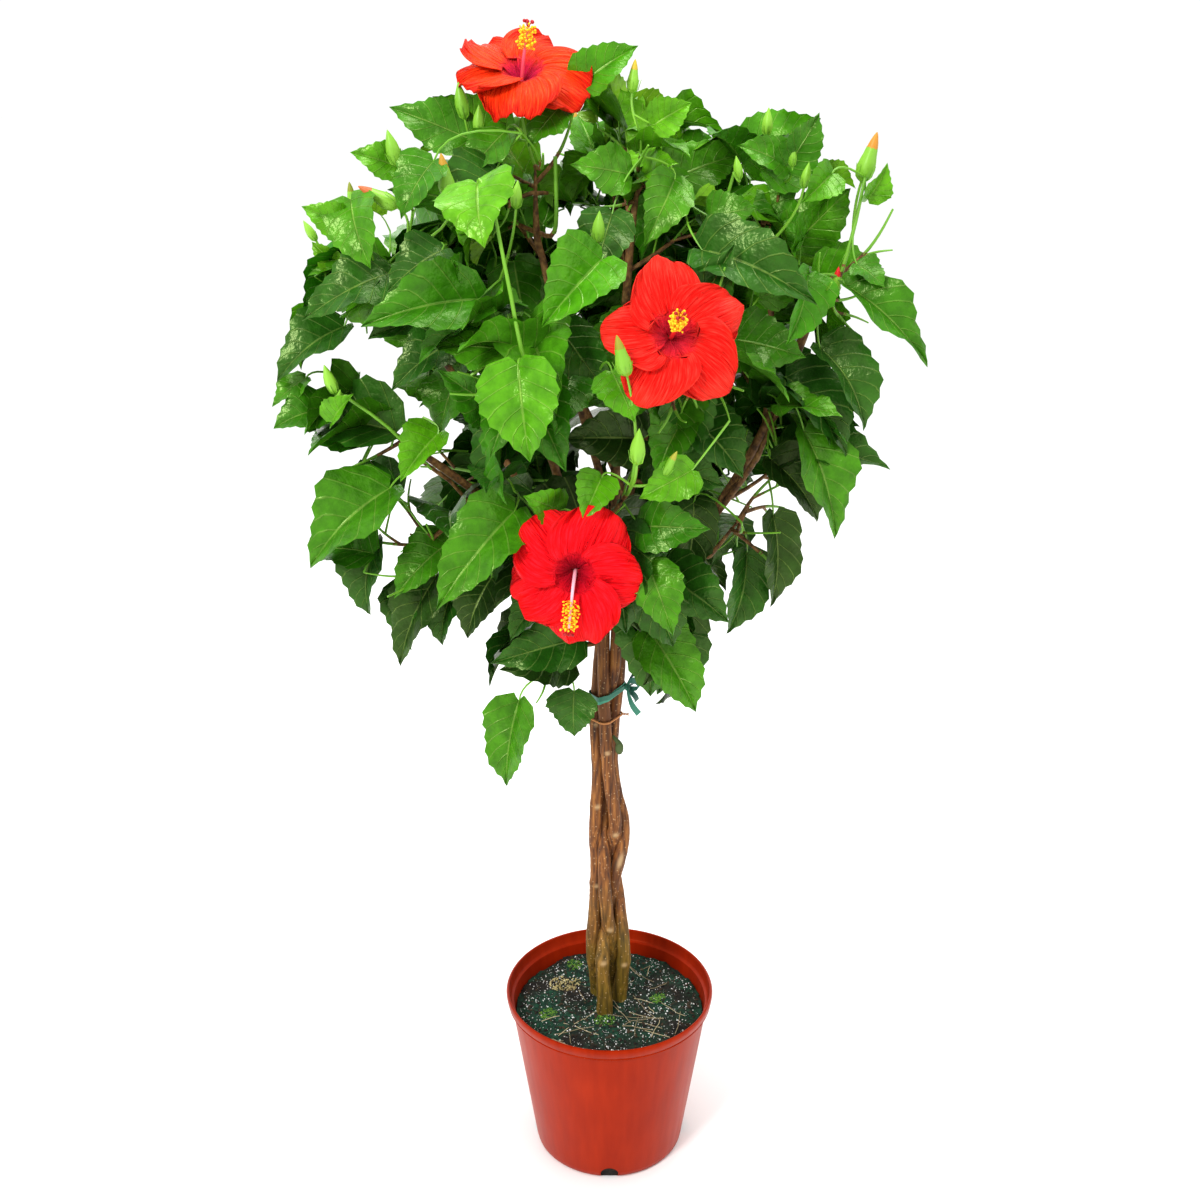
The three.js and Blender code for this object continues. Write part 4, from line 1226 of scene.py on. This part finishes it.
feature_rng = random.Random(17)
joints = [spot for line in shoots for spot in line]
FRONT = Vector((0, -1, 0))
for kind, foot, tip, width in FEATURE_LEAVES:
    normal = UP * 0.45 + outward((foot + tip) / 2) * 0.5 + FRONT * 0.75
    leaves.append([kind, foot, tip, normal, width, feature_rng.uniform(-0.4, 0.4), None])
for name, (middle, surface, spurs) in masses.items():
    for spur in spurs:
        if any((spur - bloom["middle"]).length < 0.08 for bloom in BLOOMS):
            continue
        if any((spur - tip).length < 0.035 for kind, foot, tip, width in FEATURE_LEAVES):
            continue
        if any((spur - tip).length < 0.03 for tip, _ in bud_spots):
            continue
        way = (spur - middle).normalized()
        kind = kind_at(spur, 0.5, feature_rng)
        size = LEAF_LENGTH[kind]
        foot = spur - (way + UP * feature_rng.uniform(-0.2, 0.1)).normalized() * size
        if in_the_way(foot, spur, []):
            continue
        normal = UP + outward(spur)
        leaves.append([kind, foot, spur, normal, size * 0.72, feature_rng.uniform(-0.4, 0.4), None])


def stalk(foot, toward, radius):
    """A stalk from the nearest shoot behind to a place, with an easy bend."""
    near = min(joints, key=lambda s: (s.to_3d() - foot - toward * 0.03).length)
    near = near.to_3d()
    bend = foot + toward * (near - foot).length * 0.45
    line = []
    for i in range(7):
        t = i / 6
        spot = near * (1 - t) ** 2 + bend * 2 * t * (1 - t) + foot * t * t
        line.append(Vector((*spot, radius * (1.25 - 0.3 * t))))
    return line


LEAF_ROWS = 16
LEAF_SPREAD = (-1, -0.5, 0, 0.5, 1)


def leaf_shape(bend, fold, wave, seed):
    """A blade one unit long on +Y and one unit wide: toothed, arched, and folded at the midrib."""
    rng = random.Random(seed)
    phase = rng.uniform(0, 6.28)
    verts, uvs = [], []
    y = z = 0
    for row in range(LEAF_ROWS):
        t = row / LEAF_ROWS
        angle = bend * (0.5 - t)
        half = 1.335 * t**0.45 * (1 - t) ** 1.25 if row else 0.10
        for u in LEAF_SPREAD:
            out, ahead = u * half, 0
            if abs(u) == 1 and 2 <= row < LEAF_ROWS - 1:
                out *= 1.035 if row % 2 else 0.955
                ahead = 0.016 if row % 2 else -0.004
            if t < 0.2:
                ahead -= 0.075 * abs(u) * (1 - t / 0.2)
            lift = fold * abs(out) + (0.022 if abs(u) == 0.5 else 0)
            lift += wave * math.sin(11 * t + phase + 1.5 * u) * u * u * half
            verts.append(Vector((out, y + ahead - lift * math.sin(angle), z + lift * math.cos(angle))))
            uvs.append((0.5 + u / 2, t))
        y += math.cos(bend * (0.5 - t - 0.5 / LEAF_ROWS)) / LEAF_ROWS
        z += math.sin(bend * (0.5 - t - 0.5 / LEAF_ROWS)) / LEAF_ROWS
    verts.append(Vector((0, y, z)))
    uvs.append((0.5, 1.0))
    wide = len(LEAF_SPREAD)
    faces = sheet_faces(LEAF_ROWS, wide)
    last = (LEAF_ROWS - 1) * wide
    faces += [[last + k, last + k + 1, last + wide] for k in range(wide - 1)]
    return [v / y for v in verts], faces, uvs


BLADES = {  # bend, fold, wave and seed of each shape of a kind
    "young": [(0.5, 0.95, 0.10, 1), (0.9, 0.70, 0.14, 2)],
    "bright": [(0.7, 0.42, 0.14, 3), (1.0, 0.30, 0.18, 4), (0.5, 0.60, 0.10, 5)],
    "mid": [(0.8, 0.30, 0.14, 6), (1.1, 0.40, 0.16, 7), (0.5, 0.22, 0.20, 8)],
    "mature_half_shade": [(1.0, 0.34, 0.12, 9), (0.7, 0.24, 0.18, 10), (1.3, 0.46, 0.12, 11)],
    "shade": [(0.9, 0.26, 0.14, 12), (1.2, 0.40, 0.12, 13)],
}
LEAF_SHAPES = {kind: [leaf_shape(*blade) for blade in blades] for kind, blades in BLADES.items()}

sprays = {kind: Heap() for kind in KINDS}
shape_rng = random.Random(29)
for kind, foot, tip, normal, width, tint, spot in leaves:
    axis = tip - foot
    length = axis.length
    axis.normalize()
    across = axis.cross(normal).normalized()
    normal = across.cross(axis)
    verts, faces, uvs = shape_rng.choice(LEAF_SHAPES[kind])
    turn = Matrix((across * width, axis * length, normal * length)).transposed().to_4x4()
    sprays[kind].add(placed(verts, Matrix.Translation(foot) @ turn), faces, max(-1, min(1, tint)), uvs)
    thin = 0.0010 if kind != "young" else 0.0007
    if spot is None:
        green.add(*tube(stalk(foot, -(axis * 0.6 + UP * -0.4), thin), 5), tint)
    else:
        bend = spot.lerp(foot, 0.55) + UP * 0.10 * (foot - spot).length
        line = [Vector((*p, thin * r)) for p, r in ((spot, 1.35), (bend, 1.0), (foot, 0.95))]
        green.add(*tube([catmull(line, i / 4) for i in range(5)], 5), tint)
for foot, toward in stalk_ends:
    line = stalk(foot, toward, 0.0013)
    green.add(*tube(line, 6), 0.3)

twigs = Heap()
for line in shoots:
    brown = [catmull(line, i / 8) for i in range(5)]
    leafy = [catmull(line, 0.46 + 0.54 * i / 6) for i in range(7)]
    if line[0][3] < 0.0022:
        brown, leafy = brown[:3], [catmull(line, 0.2 + 0.8 * i / 6) for i in range(7)]
    twigs.add(*tube(brown, 7))
    green.add(*tube(leafy, 7), 0.0)

# From shade to young the kinds run from painted shade to painted light, with the young leaves' own
# paler green at the light end.
BLADE_COLOURS = {  # darkest and lightest leaf of each kind
    "shade": ("#142E08", "#34591C"),
    "mature_half_shade": ("#1A4A0E", "#38701C"),
    "mid": ("#206408", "#589A18"),
    "bright": ("#2C7C08", "#72B41A"),
    "young": ("#589A14", "#92C030"),
}
VEIN_PAIRS = 7
BLOTCH = 0.014  # width of the darker patches of a blade
CRINKLE = 0.006  # width of the puckers between its veins


def blade_stuff(kind):
    """A hibiscus blade is glossy, with a pale midrib and pale veins that leave it in pairs."""
    low, high = BLADE_COLOURS[kind]
    shine = dict(Roughness=0.30, Specular_IOR_Level=0.55, Specular_Tint="#DDF0A8")
    made = tinted(kind + "_hibiscus_leaf", low, high, **shine)
    flat = made.node_tree.nodes["Principled BSDF"].inputs["Base Color"].links[0].from_socket
    spot = add(made, "UVMap", uv_map="shape_map")
    across = add(made, "SeparateXYZ", {"Vector": spot}, out="X")
    out = add(made, "Math", {0: across, 1: 0.5}, operation="SUBTRACT")
    out = add(made, "Math", {0: out}, operation="ABSOLUTE")
    rib = add(made, "MapRange", {"Value": out, "From Min": 0.022, "From Max": 0.006})
    along = across.node.outputs["Y"]
    slant = add(made, "Math", {0: out, 1: -0.46, 2: along}, operation="MULTIPLY_ADD")
    side = add(made, "Math", {0: slant, 1: 1 / (2 * VEIN_PAIRS)}, operation="PINGPONG")
    vein = add(made, "MapRange", {"Value": side, "From Min": 0.010, "From Max": 0.002, "To Max": 0.6})
    both = add(made, "Math", {0: rib, 1: vein}, operation="MAXIMUM")
    paler = add(made, "Math", {0: both, 1: 0.34}, operation="MULTIPLY")
    veined = add(made, "Mix", {0: paler, 6: flat, 7: "#B4CF6A"}, out=2, data_type="RGBA")
    where = add(made, "TexCoord", out="Object")
    blotch = add(made, "TexNoise", {"Vector": where, "Scale": 1 / BLOTCH, "Detail": 3})
    blotch = add(made, "MapRange", {"Value": blotch, "From Min": 0.35, "From Max": 0.7, "To Max": 0.5})
    darker = tuple(0.45 * part for part in linear(low)[:3]) + (1,)
    whole = add(made, "Mix", {0: blotch, 6: veined, 7: darker}, out=2, data_type="RGBA")
    crinkle = add(made, "TexNoise", {"Vector": where, "Scale": 1 / CRINKLE, "Detail": 2})
    relief = add(made, "Math", {0: both, 1: crinkle}, operation="ADD")
    bump = add(made, "Bump", {"Height": relief, "Strength": 0.6, "Distance": 0.0018})
    feed(made, Base_Color=whole, Normal=bump)
    return made


for kind, heap in sprays.items():
    heap.piece(kind + "_leaves", blade_stuff(kind), "leaves", list(masses))
shoot_stuff = tinted("green_shoot_skin", "#4C8A1C", "#8CC23A", Roughness=0.45)
green.piece("green_shoots_and_stalks", shoot_stuff, "green_shoots")
twigs.piece("brown_twigs", bough_bark, "bough_bark")


# ------------------------------------------------------------------ Ties
# Stretchy teal tape is wound round the four stems under the crown and knotted on the right, and
# a thin brown twist tie is pulled round them lower down.
LINE_STEPS = 300  # how finely a stem is searched for a height


def girdle(level, gap):
    """The line round all the stems at a height, as hull points that stand a gap off the bark."""
    points = []
    for line in stems.values():
        along = [catmull(line, i / LINE_STEPS) for i in range(LINE_STEPS + 1)]
        spot = min(along, key=lambda s: abs(s.z - level))
        for k in range(STEM_SIDES):
            angle = 2 * math.pi * k / STEM_SIDES
            reach = spot[3] + gap
            points.append((spot.x + reach * math.cos(angle), spot.y + reach * math.sin(angle)))
    return [Vector(points[i]) for i in convex_hull_2d(points)]


def band_round(level, width, thickness, slope, gap):
    """A closed flat band round the stems that climbs to the right by its slope."""
    verts = []
    hull = girdle(level, gap)
    middle = sum(hull, Vector((0, 0))) / len(hull)
    for spot in hull:
        outside = spot + (spot - middle).normalized() * thickness
        wobble = 0.0006 * math.sin(9 * math.atan2(spot.y, spot.x))
        for place, z in ((spot, -1), (outside, -1), (outside, 1), (spot, 1)):
            height = level + slope * place.x + z * width / 2 + wobble
            verts.append(Vector((place.x, place.y, height)))
    round_again = 4 * len(hull)
    faces = sheet_faces(len(hull) + 1, 4, closed=True)
    return verts, [[a, d % round_again, c % round_again, b] for a, b, c, d in faces]


def ribbon(points, width, thickness, lean):
    """A flat strip along a line, in tenths of a mm, standing on edge, as a closed solid."""
    verts = []
    count = 4 * (len(points) - 1)
    path = [Vector([part / 10000 for part in p]) for p in points]
    for i in range(count + 1):
        spot = catmull(path, i / count)
        before, after = max(0, i / count - 0.02), min(1, i / count + 0.02)
        along = (catmull(path, after) - catmull(path, before)).normalized()
        tall = (UP + Vector(lean) * i / count).normalized()
        flat = along.cross(tall).normalized()
        for a, b in ((-1, -1), (1, -1), (1, 1), (-1, 1)):
            verts.append(spot + flat * thickness / 2 * a + tall * width / 2 * b)
    ends = [[3, 2, 1, 0], [4 * count, 4 * count + 1, 4 * count + 2, 4 * count + 3]]
    return verts, sheet_faces(count + 1, 4, closed=True) + ends


TAPE_LEVEL = 0.614
TAPE_WIDTH = 0.0082
TAPE_THICKNESS = 0.0005
KNOT = Vector((0.0195, -0.014, TAPE_LEVEL + 0.012))
tape = Heap()
tape.add(*band_round(TAPE_LEVEL, TAPE_WIDTH, TAPE_THICKNESS, 0.36, 0.0008), 0.7)
tape.add(*band_round(TAPE_LEVEL + 0.001, TAPE_WIDTH * 0.7, TAPE_THICKNESS, 0.24, 0.0016), -0.2)
TAILS = [  # two loops and two loose ends, in tenths of a mm
    [(180, -160, 6260), (230, -210, 6370), (310, -220, 6350), (310, -200, 6270), (210, -150, 6250)],
    [(180, -120, 6250), (260, -120, 6410), (360, -80, 6400), (300, -60, 6300), (200, -100, 6250)],
    [(185, -180, 6270), (210, -240, 6180), (250, -280, 6090), (320, -300, 6000)],
    [(200, -150, 6250), (250, -180, 6200), (290, -160, 6140), (300, -120, 6080)],
]
for i, tail in enumerate(TAILS):
    tape.add(*ribbon(tail, TAPE_WIDTH * 0.9, TAPE_THICKNESS, (0.9, -0.2, 0)), (-0.4, -1, -0.1, -0.8)[i])
knot = Matrix.Translation(KNOT) @ Matrix.Diagonal((0.0042, 0.0038, 0.0046, 1))
tape.add(placed(bead_shape[0], knot), bead_shape[1], -0.3)
stretchy = tinted("stretch_tape", "#06463A", "#4FA98A", Roughness=0.4)
tape.piece("teal_tie_tape", stretchy, "tie_tape", ["tie_tape"])

TWIST_LEVEL = 0.583
wire = Heap()
hull = girdle(TWIST_LEVEL, 0.0009)
loop = [Vector((p.x, p.y, TWIST_LEVEL + 0.03 * p.x, 0.0013)) for p in hull]
start = max(range(len(loop)), key=lambda i: loop[i].x)
loop = loop[start:] + loop[:start]
wire.add(*tube(loop + loop[:1], 6))
for side in (-1, 1):
    end = []
    for i in range(6):
        reach = side * (0.0009 if i else 0)
        y = loop[0].y + reach * math.cos(0.9 * i)
        z = loop[0].z + reach * math.sin(0.9 * i) - 0.0002 * i
        end.append(Vector((loop[0].x + 0.0016 * i, y, z, 0.0007)))
    wire.add(*tube(end, 5))
paper = material("paper_covered_wire", Base_Color="#C0824E", Roughness=0.8)
wire.piece("twist_tie_wire", paper, "twist_tie", ["twist_tie"])
